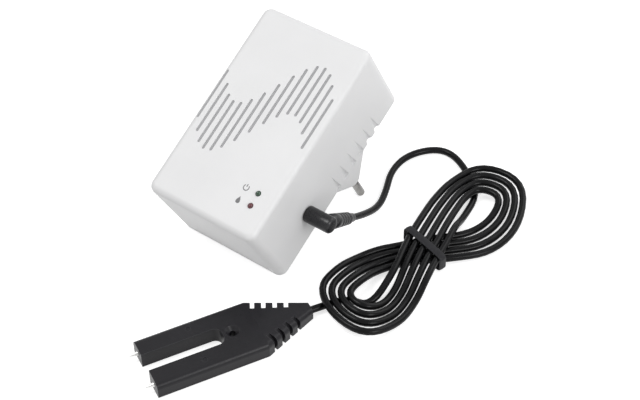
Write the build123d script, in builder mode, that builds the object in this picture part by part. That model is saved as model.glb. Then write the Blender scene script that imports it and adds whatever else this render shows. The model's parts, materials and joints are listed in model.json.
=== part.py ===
from build123d import *
import math
import os

os.makedirs("parts", exist_ok=True)

# Frame, in millimetres: +Z up, the floor at Z = 0, X along the alarm unit's width.
# The unit lies on its back: its lower back edge and its two mains pins touch the floor.

# Alarm unit's case. Places in it are (across from the left side, up from the foot, out from the back)
CASE_W = 71.0
CASE_H = 120.0
CASE_D = 53.0
WALL = 2.5
FRONT_WALL = 2.4
CORNER_R = 5.0
FRONT_EDGE_R = 3.5
COVER_T = 3.0
COVER_LIP = 2.2
LIP_WALL = 1.4
FIT = 0.15
CORNER_X = -51.0
CORNER_Y = -1.0

# Grille in the front wall: upright slots that follow one wave across the front
SLOT_COUNT = 15
SLOT_LEFT = 2.7
SLOT_RIGHT = 4.5
SLOT_L = 31.2
SLOT_W = 1.7
WAVE_HEIGHT = 18.9
WAVE_MIDDLE = 66.7
WAVE_SLOTS = 15.25

# Finger flutes on both sides: leaf-shaped scoops, deepest at the back edge
FLUTE_COUNT = 6
FLUTE_PITCH = 7.95
FLUTE_MIDDLE = 78.0
FLUTE_L = 16.0
FLUTE_R = 2.4
FLUTE_AXIS_OUT = 0.8
FLUTE_START = 1.0

# Mains plug on the back: a boss that tapers to a flat oblong end round the pins, and hollow inside
BOSS_W = 28.6
BOSS_H = 34.0
BOSS_R = 3.4
BOSS_L = 17.0
BOSS_END_W = 27.0
BOSS_END_H = 8.4
BOSS_END_T = 4.0
BOSS_EDGE_R = 0.9
HOLLOW_W = 20.6
HOLLOW_H = 29.0
HOLLOW_END_H = 9.6
PLUG_FROM_RIGHT = 14.5
PLUG_V = 70.0
PIN_R = 2.4
PIN_OUT = 19.0
PIN_PITCH = 19.0
PIN_TIP_R = 1.2
PIN_ROOT = 0.2
PIN_EYE_R = 2.6
PIN_EYE_DEEP = 0.5
PIN_PLATE_W = 5.4
PIN_PLATE_L = 7.0
PIN_PLATE_T = 1.5
PIN_PLATE_IN = 2.0
PIN_TAIL_R = 1.6
PIN_TAIL_L = 6.0
PIN_HOLE_GAP = 0.05
CARRIER_T = 3.0
CARRIER_GAP = 0.3
CARRIER_R = 1.5

# Screws
SCREW_R = 1.2
SCREW_FIT = 0.05
HEAD_R = 2.5
HEAD_T = 1.8
POST_R = 3.5
POST_IN = 8.0
COUNTERBORE_R = 3.0
SCREW_BITE = 9.0
SMALL_SCREW_R = 0.9
SMALL_HEAD_R = 1.8
SMALL_HEAD_T = 1.2
SMALL_POST_R = 2.2
SMALL_BITE = 5.0

# Circuit board and what stands on it
BOARD_GAP = 2.5
BOARD_FOOT = 14.0
BOARD_HEAD = 14.0
BOARD_T = 1.6
BOARD_OUT = 11.0
BOARD_HOLE_IN = 4.0
BOARD_FOOT_HOLE = 15.0
LEG_R = 0.4
CORE_W = 36.0
CORE_STACK = 14.0
CORE_HEADROOM = 12.0
YOKE = 6.0
LEG_W = 12.0
BOBBIN_WALL = 0.8
BOBBIN_FLANGE = 1.0
BOBBIN_OUT = 4.5
WINDING_R = 3.0
CORE_FROM_LEFT = 26.0
CORE_FROM_HEAD = 29.0
FUSE_R = 2.6
FUSE_L = 20.0
FUSE_CAP_L = 4.5
FUSE_NECK = 0.1
FUSE_UP = 0.2
CLIP_INSET = 0.5
FUSE_FROM_RIGHT = 16.0
FUSE_FROM_HEAD = 27.0
VARISTOR_R = 5.0
VARISTOR_T = 4.0
VARISTOR_UP = 1.0
VARISTOR_GAP = 2.0
VARISTOR_LEGS = 5.0
DIODE_COUNT = 4
DIODE_R = 1.35
DIODE_L = 5.0
DIODE_PITCH = 4.5
DIODE_UP = 0.3
DIODE_BEND = 1.6
DIODE_FROM_LEFT = 12.0
DIODE_V = 62.0
CAP_R = 5.0
CAP_L = 16.0
CAP_EDGE_R = 0.6
CAP_FROM_LEFT = 14.0
CAP_V = 44.0
SMALL_CAP_R = 2.5
SMALL_CAP_L = 9.0
SMALL_CAP_GAP = 3.5
SMALL_CAP_PITCH = 8.0
REGULATOR_FROM_CAP = 22.0
REGULATOR_V = 48.0
REGULATOR_W = 10.0
REGULATOR_T = 4.4
REGULATOR_H = 9.0
REGULATOR_UP = 3.0
TAB_T = 1.2
TAB_H = 6.0
REGULATOR_LEG = 0.8
REGULATOR_PITCH = 2.5
CHIP_W = 9.4
CHIP_L = 6.4
CHIP_H = 3.4
CHIP_UP = 0.8
CHIP_PITCH = 2.54
CHIP_LEG_W = 0.6
CHIP_LEG_T = 1.0
CHIP_LEG_H = 3.0
CHIP_FROM_RIGHT = 35.0
CHIP_V = 26.0
TRANSISTOR_R = 2.3
TRANSISTOR_FLAT = 1.6
TRANSISTOR_H = 4.6
TRANSISTOR_UP = 2.0
TRANSISTOR_LEG = 0.5
TRANSISTOR_PITCH = 1.3
TRANSISTOR_FROM_RIGHT = 48.0
RESISTOR_COUNT = 5
RESISTOR_R = 1.1
RESISTOR_L = 6.0
RESISTOR_UP = 1.4
RESISTOR_SPAN = 9.0
RESISTOR_LEG_R = 0.35
RESISTOR_PITCH = 3.5
RESISTOR_V = 25.0
RESISTOR_GAP = 0.5

# Sounder behind the grille
SOUNDER_R = 20.0
SOUNDER_T = 10.0
SOUNDER_WALL = 1.2
DISC_R = 17.0
DISC_T = 0.6
EAR_R = 4.0
EAR_SINK = 1.0
EAR_SCREW_SHY = 0.5
LINK_R = 0.6
LINK_PITCH = 6.0
LINK_FROM_MIDDLE = 10.0

# Indicator lamps
LED_R = 1.5
LED_FLANGE_R = 1.9
LED_FLANGE_T = 1.0
LED_PROUD = 1.2
LED_FROM_RIGHT = 11.5
LED_GREEN_V = 24.6
LED_RED_V = 17.1
LED_HOLE_GAP = 0.15
INDICATOR_DEEP = 6.5
INDICATOR_T = 1.2
INDICATOR_W = 17.0
INDICATOR_L = 16.0
INDICATOR_WIRES = 3
INDICATOR_WIRE_PITCH = 2.0
INDICATOR_WIRE_DROP = 4.5

# Jack socket in the right side and the right-angle plug in it
JACK_V = 34.5
JACK_UP = 4.1
JACK_BODY_W = 11.0
JACK_BODY_L = 16.0
JACK_BODY_H = 9.0
TAG_W = 6.0
TAG_NECK_W = 2.0
TAG_T = 0.4
TAG_FOOT_H = 1.2
TAG_H = 5.6
BARREL_R = 3.2
BARREL_GAP = 0.15
BARREL_SHY = 0.3
SHAFT_R = 1.75
SHAFT_GAP = 0.05
SLEEVE_L = 9.0
INSULATOR_L = 0.8
TIP_L = 4.2
PLUG_R = 4.75
PLUG_GAP = 0.3
PLUG_AXIS_OUT = 12.3
PLUG_BACK_R = 1.6
PLUG_FACE_R = 0.5
ARM_DROP = 31.8
ARM_L = 28.0
ARM_BODY_L = 10.0
BOOT_SHOULDER_AT = 22.5
BOOT_SHOULDER_R = 3.5
BOOT_STEP_L = 2.5
BOOT_R = 2.5
BOOT_RINGS = 4
BOOT_RING_W = 1.1
BOOT_RING_DEEP = 0.45

# Sensor lead
CORD_R = 2.0
FLOOR_GAP = 0.05
LEAD_POINTS = [
    (31.4, 71.8, 2.9),
    (26.5, 86.1, 2.05),
    (19.2, 101.3, 2.05),
    (18.8, 117.7, 2.05),
    (27.7, 131.6, 2.05),
    (38.7, 135.1, 2.05),
    (53.2, 128.0, 2.05),
]
LEAD_FIRST_RUN = 10.0
LEAD_JOIN_RUN = 17.0
TAIL_POINTS = [(71.3, 8.0, 2.05), (57.9, 6.4, 2.05)]
TAIL_JOIN_RUN = 13.0
TAIL_NECK_RUN = 3.0
NECK_Z = 3.2
ARC_SHARE = 0.45

# Hank: a figure of eight, its downward strands on top of its upward ones at the waist. Each place on
# the loop is (x, y, heading) of its first strand, the same of its last one, and their lift off the floor.
# The first strands lie outermost in the upper lobe and innermost in the lower one.
LOOP = [
    ((54.5, 98.0, -88), (73.2, 98.0, -80), 4.2),
    ((58.3, 74.0, -80), (78.4, 74.0, -76), 5.7),
    ((65.4, 44.5, -72), (84.5, 45.5, -76), 5.7),
    ((71.0, 18.0, -88), (89.3, 18.0, -85), 0.2),
    ((64.0, 8.2, 180), (72.3, -12.4, 177), 4.8),
    ((63.4, 11.0, 84), (43.3, 10.6, 91), 5.2),
    ((68.2, 36.5, 57), (47.6, 38.0, 66), 1.2),
    ((83.8, 53.4, 38), (62.9, 59.8, 55), 1.2),
    ((107.6, 91.8, 92), (85.6, 93.6, 77), 0.0),
    ((71.2, 140.0, 184), (76.0, 116.4, 186), 4.2),
]
LAST_STRAND = 4
HANK_STEPS = 42

# Tie round the hank's waist
TIE_W = 4.4
TIE_T = 0.95
TIE_CORNER_R = 1.6
TIE_MIDDLE = (71.6, 58.3)
TIE_ANGLE = 74.4
TIE_INNER_W = 29.2
TIE_INNER_H = 9.0

# Sensor probe: a two-pronged fork lying flat, its length from the prong ends to the neck
PROBE_X = 5.6
PROBE_Y = -94.9
PROBE_ANGLE = 62.7
PROBE_L = 92.0
PROBE_W = 34.5
PROBE_T = 9.2
PRONG_L = 42.5
PRONG_GAP = 11.1
SLOT_END_R = 4.0
SHOULDER = 61.0
NECK_W = 7.4
NECK_H = 6.8
TOP_EDGE_R = 3.2
NECK_EDGE_R = 2.2
FOOT_EDGE_R = 0.6
GROOVE_COUNT = 4
GROOVE_FIRST = 5.0
GROOVE_PITCH = 5.9
GROOVE_W = 2.3
GROOVE_DEEP = 2.2
GROOVE_REACH = 6.0
GROOVE_FLOOR = 5.0
FIX_AT = 48.0
FIX_R = 1.75
FIX_SINK_R = 3.9
FIX_SINK_DEEP = 1.9
DIMPLE_R = 1.5
DIMPLE_DEEP = 0.3
DIMPLE_AT = 28.0
NECK_DIMPLE_AT = 75.0
ELECTRODE_R = 1.3
ELECTRODE_OUT = 5.0
ELECTRODE_IN = 12.0
ELECTRODE_TIP_R = 0.2
CORE_R = 0.8
CORE_GAP = 0.1

BOTTOM = (Align.CENTER, Align.CENTER, Align.MIN)
TOP = (Align.CENTER, Align.CENTER, Align.MAX)
DEEP = (Align.CENTER, Align.MIN, Align.CENTER)
ALONG_U = (0, 90, 0)
ALONG_V = (-90, 0, 0)

# The unit's own frame: x across, y up its length, z out of its front. The rounded pin ends touch the floor
TIP_V = PLUG_V - PIN_R + PIN_TIP_R
TIP_W = BOSS_L + PIN_OUT - PIN_TIP_R
TILT = math.degrees(math.atan2(TIP_W, TIP_V) + math.asin(PIN_TIP_R / math.hypot(TIP_V, TIP_W)))
UNIT = Plane(
    origin=(CORNER_X, CORNER_Y, 0),
    x_dir=(1, 0, 0),
    z_dir=(0, -math.sin(math.radians(TILT)), math.cos(math.radians(TILT))),
)
OUTWARD = Axis(UNIT.origin, UNIT.z_dir)
FRONT_IN = CASE_D - FRONT_WALL
BOARD_FACE = BOARD_OUT + BOARD_T
PLUG_U = CASE_W - PLUG_FROM_RIGHT
LED_U = CASE_W - LED_FROM_RIGHT
JACK_OUT = BOARD_FACE + JACK_UP
GRILLE_U = (SLOT_LEFT + CASE_W - SLOT_RIGHT) / 2
PIN_SPOTS = [(PLUG_U - PIN_PITCH / 2, PLUG_V), (PLUG_U + PIN_PITCH / 2, PLUG_V)]
TAIL_SPOTS = [(PIN_SPOTS[0][0] + PIN_PLATE_IN, PLUG_V), (PIN_SPOTS[1][0] - PIN_PLATE_IN, PLUG_V)]
CASE_POSTS = [(u, v) for u in (POST_IN, CASE_W - POST_IN) for v in (POST_IN, CASE_H - POST_IN)]
BOARD_LEFT = WALL + BOARD_GAP
BOARD_W = CASE_W - 2 * BOARD_LEFT
BOARD_L = CASE_H - BOARD_FOOT - BOARD_HEAD
BOARD_MIDDLE = (CASE_W / 2, BOARD_FOOT + BOARD_L / 2)
BOARD_HOLES = [
    (BOARD_LEFT + BOARD_HOLE_IN, BOARD_FOOT + BOARD_HOLE_IN),
    (CASE_W - BOARD_LEFT - BOARD_HOLE_IN - BOARD_FOOT_HOLE, BOARD_FOOT + BOARD_HOLE_IN),
    (BOARD_LEFT + BOARD_HOLE_IN, CASE_H - BOARD_HEAD - BOARD_HOLE_IN),
    (CASE_W - BOARD_LEFT - BOARD_HOLE_IN, CASE_H - BOARD_HEAD - BOARD_HOLE_IN),
]
CORE_H = FRONT_IN - CORE_HEADROOM - BOARD_FACE
CORE_U = CORE_FROM_LEFT
CORE_V = CASE_H - CORE_FROM_HEAD
FUSE_U = CASE_W - FUSE_FROM_RIGHT
FUSE_V = CASE_H - FUSE_FROM_HEAD
CHIP_U = CASE_W - CHIP_FROM_RIGHT
TRANSISTOR_U = CASE_W - TRANSISTOR_FROM_RIGHT
RESISTOR_U = CASE_W - WALL - JACK_BODY_L - RESISTOR_GAP - RESISTOR_SPAN / 2
REGULATOR_U = CAP_FROM_LEFT + REGULATOR_FROM_CAP
SOUNDER_EARS = [(GRILLE_U + side * (SOUNDER_R + EAR_R - EAR_SINK), WAVE_MIDDLE) for side in (-1, 1)]
INDICATOR_FACE = FRONT_IN - INDICATOR_DEEP
INDICATOR_SPOT = (LED_U, (LED_GREEN_V + LED_RED_V) / 2)
INDICATOR_POSTS = [(LED_U + side * (INDICATOR_W / 2 - SMALL_POST_R), INDICATOR_SPOT[1]) for side in (-1, 1)]
BOSS_FLOOR = -(BOSS_L - BOSS_END_T)
CARRIER_FACE = BOSS_FLOOR + PIN_PLATE_T

pieces = []


def keep(builder, name):
    """Label a finished piece and keep it for the export."""
    builder.part.label = name
    pieces.append(builder)


def screws(spots, head_at, way, length, radius, head_r, head_t):
    """Cheese-head screws on the unit's own axes: way is 1 or -1, from the head towards the tip."""
    for spot in spots:
        with Locations((*spot, head_at)):
            Cylinder(radius, length, align=BOTTOM if way > 0 else TOP)
            Cylinder(head_r, head_t, align=TOP if way > 0 else BOTTOM)


def cut_flutes():
    """Cut the finger flutes into both sides: leaning cones whose points lie on the side, towards the front."""
    first = FLUTE_MIDDLE - FLUTE_PITCH * (FLUTE_COUNT - 1) / 2
    lean = math.degrees(math.atan2(FLUTE_AXIS_OUT, FLUTE_L))
    grown = (FLUTE_L + FLUTE_START) / FLUTE_L
    length = math.hypot(FLUTE_L, FLUTE_AXIS_OUT) * grown
    for number in range(FLUTE_COUNT):
        for side, outward in ((0, -1), (CASE_W, 1)):
            foot = (side + outward * FLUTE_AXIS_OUT * grown, first + number * FLUTE_PITCH, -FLUTE_START)
            with Locations(Location(foot, (0, -outward * lean, 0))):
                Cone(FLUTE_R * grown, 0, length, align=BOTTOM, mode=Mode.SUBTRACT)


def narrowing(width, height, end_width, end_height, depth, mode=Mode.ADD):
    """Four-sided block behind the back plane, round the plug's middle, that narrows towards its far end."""
    from_u, from_v = (width - end_width) / 2, (height - end_height) / 2
    far_end = (from_u, from_v, width - from_u, height - from_v)
    with Locations((PLUG_U, PLUG_V, 0)):
        Wedge(width, depth, height, *far_end, rotation=(-90, 0, 0), align=DEEP, mode=mode)


def tube(points, radius, name):
    """Round tube along straight runs joined by arcs as large as the runs allow."""
    corners = [Vector(*point) for point in points]
    radii = []
    for before, corner, after in zip(corners, corners[1:], corners[2:]):
        turn = math.radians((corner - before).get_angle(after - corner))
        shorter = min((corner - before).length, (after - corner).length)
        radii.append(ARC_SHARE * shorter / math.tan(turn / 2))
    with BuildPart() as made:
        with BuildLine():
            path = FilletPolyline(*corners, radius=radii)
        with BuildSketch(Plane(origin=path @ 0, z_dir=path % 0)):
            Circle(radius)
        sweep()
    wanted = math.pi * radius**2 * path.length
    print(f"{name}: length {path.length:.1f}, radii {[round(r, 1) for r in radii]}", end=", ")
    print(f"volume {made.part.volume:.1f} of {wanted:.1f}")
    return made


# Front shell of the case, with the grille, the lamp holes and its posts
with BuildPart(UNIT) as front_housing:
    with BuildSketch(UNIT.offset(COVER_T)):
        with Locations((CASE_W / 2, CASE_H / 2)):
            RectangleRounded(CASE_W, CASE_H, CORNER_R)
    extrude(amount=CASE_D - COVER_T)
    fillet(front_housing.faces().sort_by(OUTWARD)[-1].edges(), FRONT_EDGE_R)
    with BuildSketch(UNIT.offset(COVER_T)):
        with Locations((CASE_W / 2, CASE_H / 2)):
            RectangleRounded(CASE_W - 2 * WALL, CASE_H - 2 * WALL, CORNER_R - WALL)
    extrude(amount=FRONT_IN - COVER_T, mode=Mode.SUBTRACT)
    for spots, radius, foot, bore in (
        (CASE_POSTS, POST_R, COVER_T, SCREW_R),
        (BOARD_HOLES, POST_R, BOARD_FACE, SCREW_R),
        (SOUNDER_EARS, SMALL_POST_R, FRONT_IN - SOUNDER_T / 2, SMALL_SCREW_R),
        (INDICATOR_POSTS, SMALL_POST_R, INDICATOR_FACE, SMALL_SCREW_R),
    ):
        with Locations(*[(*spot, foot) for spot in spots]):
            Cylinder(radius, FRONT_IN - foot, align=BOTTOM)
            Cylinder(bore + SCREW_FIT, min(SCREW_BITE + 1, FRONT_IN - foot), align=BOTTOM, mode=Mode.SUBTRACT)
    slot_pitch = (CASE_W - SLOT_LEFT - SLOT_RIGHT) / (SLOT_COUNT - 1)
    slot_spots = []
    for number in range(SLOT_COUNT):
        wave = math.sin(2 * math.pi * (number - (SLOT_COUNT - 1) / 2) / WAVE_SLOTS)
        slot_spots.append((SLOT_LEFT + number * slot_pitch, WAVE_MIDDLE + WAVE_HEIGHT * wave))
    with BuildSketch(UNIT.offset(CASE_D)):
        with Locations(*slot_spots):
            SlotOverall(SLOT_L, SLOT_W, rotation=90)
        with Locations((LED_U, LED_GREEN_V), (LED_U, LED_RED_V)):
            Circle(LED_R + LED_HOLE_GAP)
    extrude(amount=-FRONT_WALL, mode=Mode.SUBTRACT)
    with Locations((CASE_W - WALL / 2, JACK_V, JACK_OUT)):
        Cylinder(BARREL_R + BARREL_GAP, WALL + 1, rotation=ALONG_U, mode=Mode.SUBTRACT)
    cut_flutes()
keep(front_housing, "front_housing")

# Rear cover with the plug boss, its locating lip and the counterbored screw holes
with BuildPart() as plug_boss:
    narrowing(BOSS_W, BOSS_H, BOSS_END_W, BOSS_END_H, BOSS_L)
    fillet([edge for edge in plug_boss.edges() if abs((edge % 0.5).Z) > 0.5], BOSS_R)
    fillet(plug_boss.faces().sort_by(Axis.Z)[0].edges(), BOSS_EDGE_R)

with BuildPart(UNIT) as rear_cover:
    with BuildSketch(UNIT):
        with Locations((CASE_W / 2, CASE_H / 2)):
            RectangleRounded(CASE_W, CASE_H, CORNER_R)
    extrude(amount=COVER_T)
    cut_flutes()
    add(plug_boss.part)
    narrowing(HOLLOW_W, HOLLOW_H, HOLLOW_W, HOLLOW_END_H, -BOSS_FLOOR, mode=Mode.SUBTRACT)
    with Locations((PLUG_U, PLUG_V, 0)):
        Box(HOLLOW_W, HOLLOW_H, COVER_T, align=BOTTOM, mode=Mode.SUBTRACT)
    with BuildSketch(UNIT.offset(COVER_T)):
        with Locations((CASE_W / 2, CASE_H / 2)):
            lip_w, lip_h = CASE_W - 2 * (WALL + FIT), CASE_H - 2 * (WALL + FIT)
            lip_r = CORNER_R - WALL - FIT
            RectangleRounded(lip_w, lip_h, lip_r)
            Rectangle(lip_w - 2 * LIP_WALL, lip_h - 2 * LIP_WALL, mode=Mode.SUBTRACT)
    extrude(amount=COVER_LIP)
    with Locations(*[(*spot, COVER_T) for spot in CASE_POSTS]):
        Cylinder(POST_R + FIT, COVER_LIP + 1, align=BOTTOM, mode=Mode.SUBTRACT)
    with Locations(*[(*spot, 0) for spot in CASE_POSTS]):
        Cylinder(SCREW_R + SCREW_FIT, COVER_T, align=BOTTOM, mode=Mode.SUBTRACT)
        Cylinder(COUNTERBORE_R, HEAD_T, align=BOTTOM, mode=Mode.SUBTRACT)
    with Locations(*[(*spot, -BOSS_L) for spot in PIN_SPOTS]):
        Cylinder(PIN_R - PIN_ROOT + PIN_HOLE_GAP, BOSS_END_T, align=BOTTOM, mode=Mode.SUBTRACT)
        Cylinder(PIN_EYE_R, PIN_EYE_DEEP, align=BOTTOM, mode=Mode.SUBTRACT)
    with Locations((PLUG_U, PLUG_V, CARRIER_FACE)):
        Cylinder(SMALL_POST_R, PIN_PLATE_T, align=TOP)
        Cylinder(SMALL_SCREW_R + SCREW_FIT, PIN_PLATE_T + BOSS_END_T / 2, align=TOP, mode=Mode.SUBTRACT)
keep(rear_cover, "rear_cover")

# Mains pins, held by their inner plates between the boss's floor and a clamped carrier
for pin_name, spot, tail_spot in zip(("mains_pin_left", "mains_pin_right"), PIN_SPOTS, TAIL_SPOTS):
    with BuildPart(UNIT) as mains_pin:
        with Locations((*spot, -BOSS_L - PIN_OUT)):
            Cylinder(PIN_R, PIN_OUT, align=BOTTOM)
        fillet(mains_pin.faces().sort_by(OUTWARD)[0].edges(), PIN_TIP_R)
        chamfer(mains_pin.faces().sort_by(OUTWARD)[-1].edges(), PIN_ROOT)
        with Locations((*spot, -BOSS_L)):
            Cylinder(PIN_R - PIN_ROOT, BOSS_END_T, align=BOTTOM)
        with Locations((*tail_spot, BOSS_FLOOR)):
            Box(PIN_PLATE_W, PIN_PLATE_L, PIN_PLATE_T, align=BOTTOM)
        with Locations((*tail_spot, CARRIER_FACE)):
            Cylinder(PIN_TAIL_R, PIN_TAIL_L, align=BOTTOM)
    keep(mains_pin, pin_name)

with BuildPart(UNIT) as pin_carrier:
    with BuildSketch(UNIT.offset(CARRIER_FACE)):
        with Locations((PLUG_U, PLUG_V)):
            RectangleRounded(HOLLOW_W - 2 * CARRIER_GAP, HOLLOW_END_H - 2 * CARRIER_GAP, CARRIER_R)
        with Locations(*TAIL_SPOTS):
            Circle(PIN_TAIL_R + PIN_HOLE_GAP, mode=Mode.SUBTRACT)
        with Locations((PLUG_U, PLUG_V)):
            Circle(SMALL_SCREW_R + SCREW_FIT, mode=Mode.SUBTRACT)
    extrude(amount=CARRIER_T)
keep(pin_carrier, "pin_carrier")

with BuildPart(UNIT) as carrier_screw:
    head_at = CARRIER_FACE + CARRIER_T
    bite = CARRIER_T + PIN_PLATE_T + BOSS_END_T / 2
    screws([(PLUG_U, PLUG_V)], head_at, -1, bite, SMALL_SCREW_R, SMALL_HEAD_R, SMALL_HEAD_T)
keep(carrier_screw, "carrier_screw")

# Mains wires from the pins' tails to the board's back
WIRE_R = 0.9
WIRE_LAND = 8.0
with BuildPart() as mains_wires:
    for across, up in TAIL_SPOTS:
        tail = CARRIER_FACE + PIN_TAIL_L
        rise = BOARD_OUT - tail
        route = [
            UNIT.from_local_coords((across, up, tail)),
            UNIT.from_local_coords((across, up, tail + rise * 0.3)),
            UNIT.from_local_coords((across, up + WIRE_LAND, BOARD_OUT - rise * 0.25)),
            UNIT.from_local_coords((across, up + WIRE_LAND, BOARD_OUT)),
        ]
        with BuildLine() as wire_path:
            FilletPolyline(*route, radius=2 * WIRE_R)
        with BuildSketch(Plane(origin=wire_path.line @ 0, z_dir=wire_path.line % 0)):
            Circle(WIRE_R)
        sweep(path=wire_path.line)
keep(mains_wires, "mains_wires")

# Circuit board, on the front shell's posts
with BuildPart(UNIT) as circuit_board:
    with BuildSketch(UNIT.offset(BOARD_OUT)):
        with Locations(BOARD_MIDDLE):
            Rectangle(BOARD_W, BOARD_L)
        with Locations(*BOARD_HOLES):
            Circle(SCREW_R + SCREW_FIT, mode=Mode.SUBTRACT)
    extrude(amount=BOARD_T)
keep(circuit_board, "circuit_board")

with BuildPart(UNIT) as board_screws:
    screws(BOARD_HOLES, BOARD_OUT, 1, BOARD_T + SCREW_BITE, SCREW_R, HEAD_R, HEAD_T)
keep(board_screws, "board_screws")

with BuildPart(UNIT) as housing_screws:
    screws(CASE_POSTS, HEAD_T, 1, COVER_T - HEAD_T + SCREW_BITE, SCREW_R, HEAD_R, HEAD_T)
keep(housing_screws, "housing_screws")

# Mains transformer: laminated core, bobbin on its middle leg, and the winding
window_w = (CORE_W - LEG_W) / 4
window_h = CORE_H - 2 * YOKE
bobbin_u = LEG_W / 2 + BOBBIN_WALL + FIT
bobbin_v = CORE_STACK / 2 + BOBBIN_WALL + FIT
flange_u = LEG_W / 2 + window_w - FIT
flange_v = CORE_STACK / 2 + BOBBIN_OUT
with BuildPart(UNIT) as transformer_core:
    with Locations((CORE_U, CORE_V, BOARD_FACE)):
        Box(CORE_W, CORE_STACK, CORE_H, align=BOTTOM)
    with Locations(*[(CORE_U + side * (LEG_W + window_w) / 2, CORE_V, BOARD_FACE + YOKE) for side in (-1, 1)]):
        Box(window_w, CORE_STACK, window_h, align=BOTTOM, mode=Mode.SUBTRACT)
keep(transformer_core, "transformer_core")

with BuildPart(UNIT) as transformer_bobbin:
    with Locations((CORE_U, CORE_V, BOARD_FACE + YOKE + FIT)):
        Box(2 * bobbin_u, 2 * bobbin_v, window_h - 2 * FIT, align=BOTTOM)
        Box(2 * flange_u, 2 * flange_v, BOBBIN_FLANGE, align=BOTTOM)
    with Locations((CORE_U, CORE_V, BOARD_FACE + YOKE + window_h - FIT)):
        Box(2 * flange_u, 2 * flange_v, BOBBIN_FLANGE, align=TOP)
    with Locations((CORE_U, CORE_V, BOARD_FACE + YOKE)):
        Box(LEG_W + 2 * FIT, CORE_STACK + 2 * FIT, window_h, align=BOTTOM, mode=Mode.SUBTRACT)
keep(transformer_bobbin, "transformer_bobbin")

with BuildPart(UNIT) as transformer_winding:
    with BuildSketch(UNIT.offset(BOARD_FACE + YOKE + FIT + BOBBIN_FLANGE)):
        with Locations((CORE_U, CORE_V)):
            RectangleRounded(2 * (flange_u - FIT), 2 * (flange_v - FIT), WINDING_R)
            Rectangle(2 * bobbin_u, 2 * bobbin_v, mode=Mode.SUBTRACT)
    extrude(amount=window_h - 2 * (FIT + BOBBIN_FLANGE))
keep(transformer_winding, "transformer_winding")

# Fuse, surge disc, rectifier, capacitors and regulator
FUSE_AXIS = BOARD_FACE + FUSE_R + FUSE_UP
with BuildPart(UNIT) as fuse_body:
    with Locations((FUSE_U, FUSE_V, FUSE_AXIS)):
        Cylinder(FUSE_R - FUSE_NECK, FUSE_L - 2 * FUSE_CAP_L, rotation=ALONG_V)
keep(fuse_body, "fuse_body")

with BuildPart(UNIT) as fuse_clips:
    for side in (-1, 1):
        clip_v = FUSE_V + side * (FUSE_L - FUSE_CAP_L) / 2
        with Locations((FUSE_U, clip_v, FUSE_AXIS)):
            Cylinder(FUSE_R, FUSE_CAP_L, rotation=ALONG_V)
        with Locations((FUSE_U, clip_v, BOARD_FACE)):
            Box(2 * (FUSE_R - CLIP_INSET), FUSE_CAP_L - 2 * CLIP_INSET, FUSE_R, align=BOTTOM)
keep(fuse_clips, "fuse_clips")

varistor_v = FUSE_V - FUSE_L / 2 - VARISTOR_GAP - VARISTOR_T / 2
with BuildPart(UNIT) as surge_disc:
    with Locations((FUSE_U, varistor_v, BOARD_FACE + VARISTOR_R + VARISTOR_UP)):
        Cylinder(VARISTOR_R, VARISTOR_T, rotation=ALONG_V)
    for side in (-1, 1):
        with Locations((FUSE_U + side * VARISTOR_LEGS / 2, varistor_v, BOARD_FACE)):
            Cylinder(LEG_R, VARISTOR_R / 2, align=BOTTOM)
keep(surge_disc, "surge_disc")

with BuildPart(UNIT) as rectifier_diodes:
    for number in range(DIODE_COUNT):
        across = DIODE_FROM_LEFT + number * DIODE_PITCH
        axis_at = BOARD_FACE + DIODE_R + DIODE_UP
        with Locations((across, DIODE_V, axis_at)):
            Cylinder(DIODE_R, DIODE_L, rotation=ALONG_V)
            Cylinder(LEG_R, DIODE_L + 2 * (DIODE_BEND + LEG_R), rotation=ALONG_V)
        for side in (-1, 1):
            with Locations((across, DIODE_V + side * (DIODE_L / 2 + DIODE_BEND), BOARD_FACE)):
                Cylinder(LEG_R, axis_at - BOARD_FACE, align=BOTTOM)
keep(rectifier_diodes, "rectifier_diodes")

with BuildPart(UNIT) as smoothing_capacitor:
    with Locations((CAP_FROM_LEFT, CAP_V, BOARD_FACE)):
        Cylinder(CAP_R, CAP_L, align=BOTTOM)
    fillet(smoothing_capacitor.faces().sort_by(OUTWARD)[-1].edges(), CAP_EDGE_R)
keep(smoothing_capacitor, "smoothing_capacitor")

small_cap_u = CAP_FROM_LEFT + CAP_R + SMALL_CAP_GAP + SMALL_CAP_R
with BuildPart(UNIT) as filter_capacitors:
    for side in (-1, 1):
        with Locations((small_cap_u, CAP_V + side * SMALL_CAP_PITCH / 2, BOARD_FACE)):
            Cylinder(SMALL_CAP_R, SMALL_CAP_L, align=BOTTOM)
keep(filter_capacitors, "filter_capacitors")

with BuildPart(UNIT) as voltage_regulator:
    with Locations((REGULATOR_U, REGULATOR_V, BOARD_FACE + REGULATOR_UP)):
        Box(REGULATOR_W, REGULATOR_T, REGULATOR_H, align=BOTTOM)
    with Locations((REGULATOR_U, REGULATOR_V + (REGULATOR_T - TAB_T) / 2, BOARD_FACE + REGULATOR_UP + REGULATOR_H)):
        Box(REGULATOR_W, TAB_T, TAB_H, align=BOTTOM)
    for number in (-1, 0, 1):
        with Locations((REGULATOR_U + number * REGULATOR_PITCH, REGULATOR_V, BOARD_FACE)):
            Box(REGULATOR_LEG, REGULATOR_LEG, REGULATOR_UP, align=BOTTOM)
keep(voltage_regulator, "voltage_regulator")

with BuildPart(UNIT) as alarm_chip:
    with Locations((CHIP_U, CHIP_V, BOARD_FACE + CHIP_UP)):
        Box(CHIP_W, CHIP_L, CHIP_H, align=BOTTOM)
    for number in range(4):
        for side in (-1, 1):
            foot = (CHIP_U + (number - 1.5) * CHIP_PITCH, CHIP_V + side * (CHIP_L + CHIP_LEG_T) / 2, BOARD_FACE)
            with Locations(foot):
                Box(CHIP_LEG_W, CHIP_LEG_T, CHIP_LEG_H, align=BOTTOM)
keep(alarm_chip, "alarm_chip")

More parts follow.
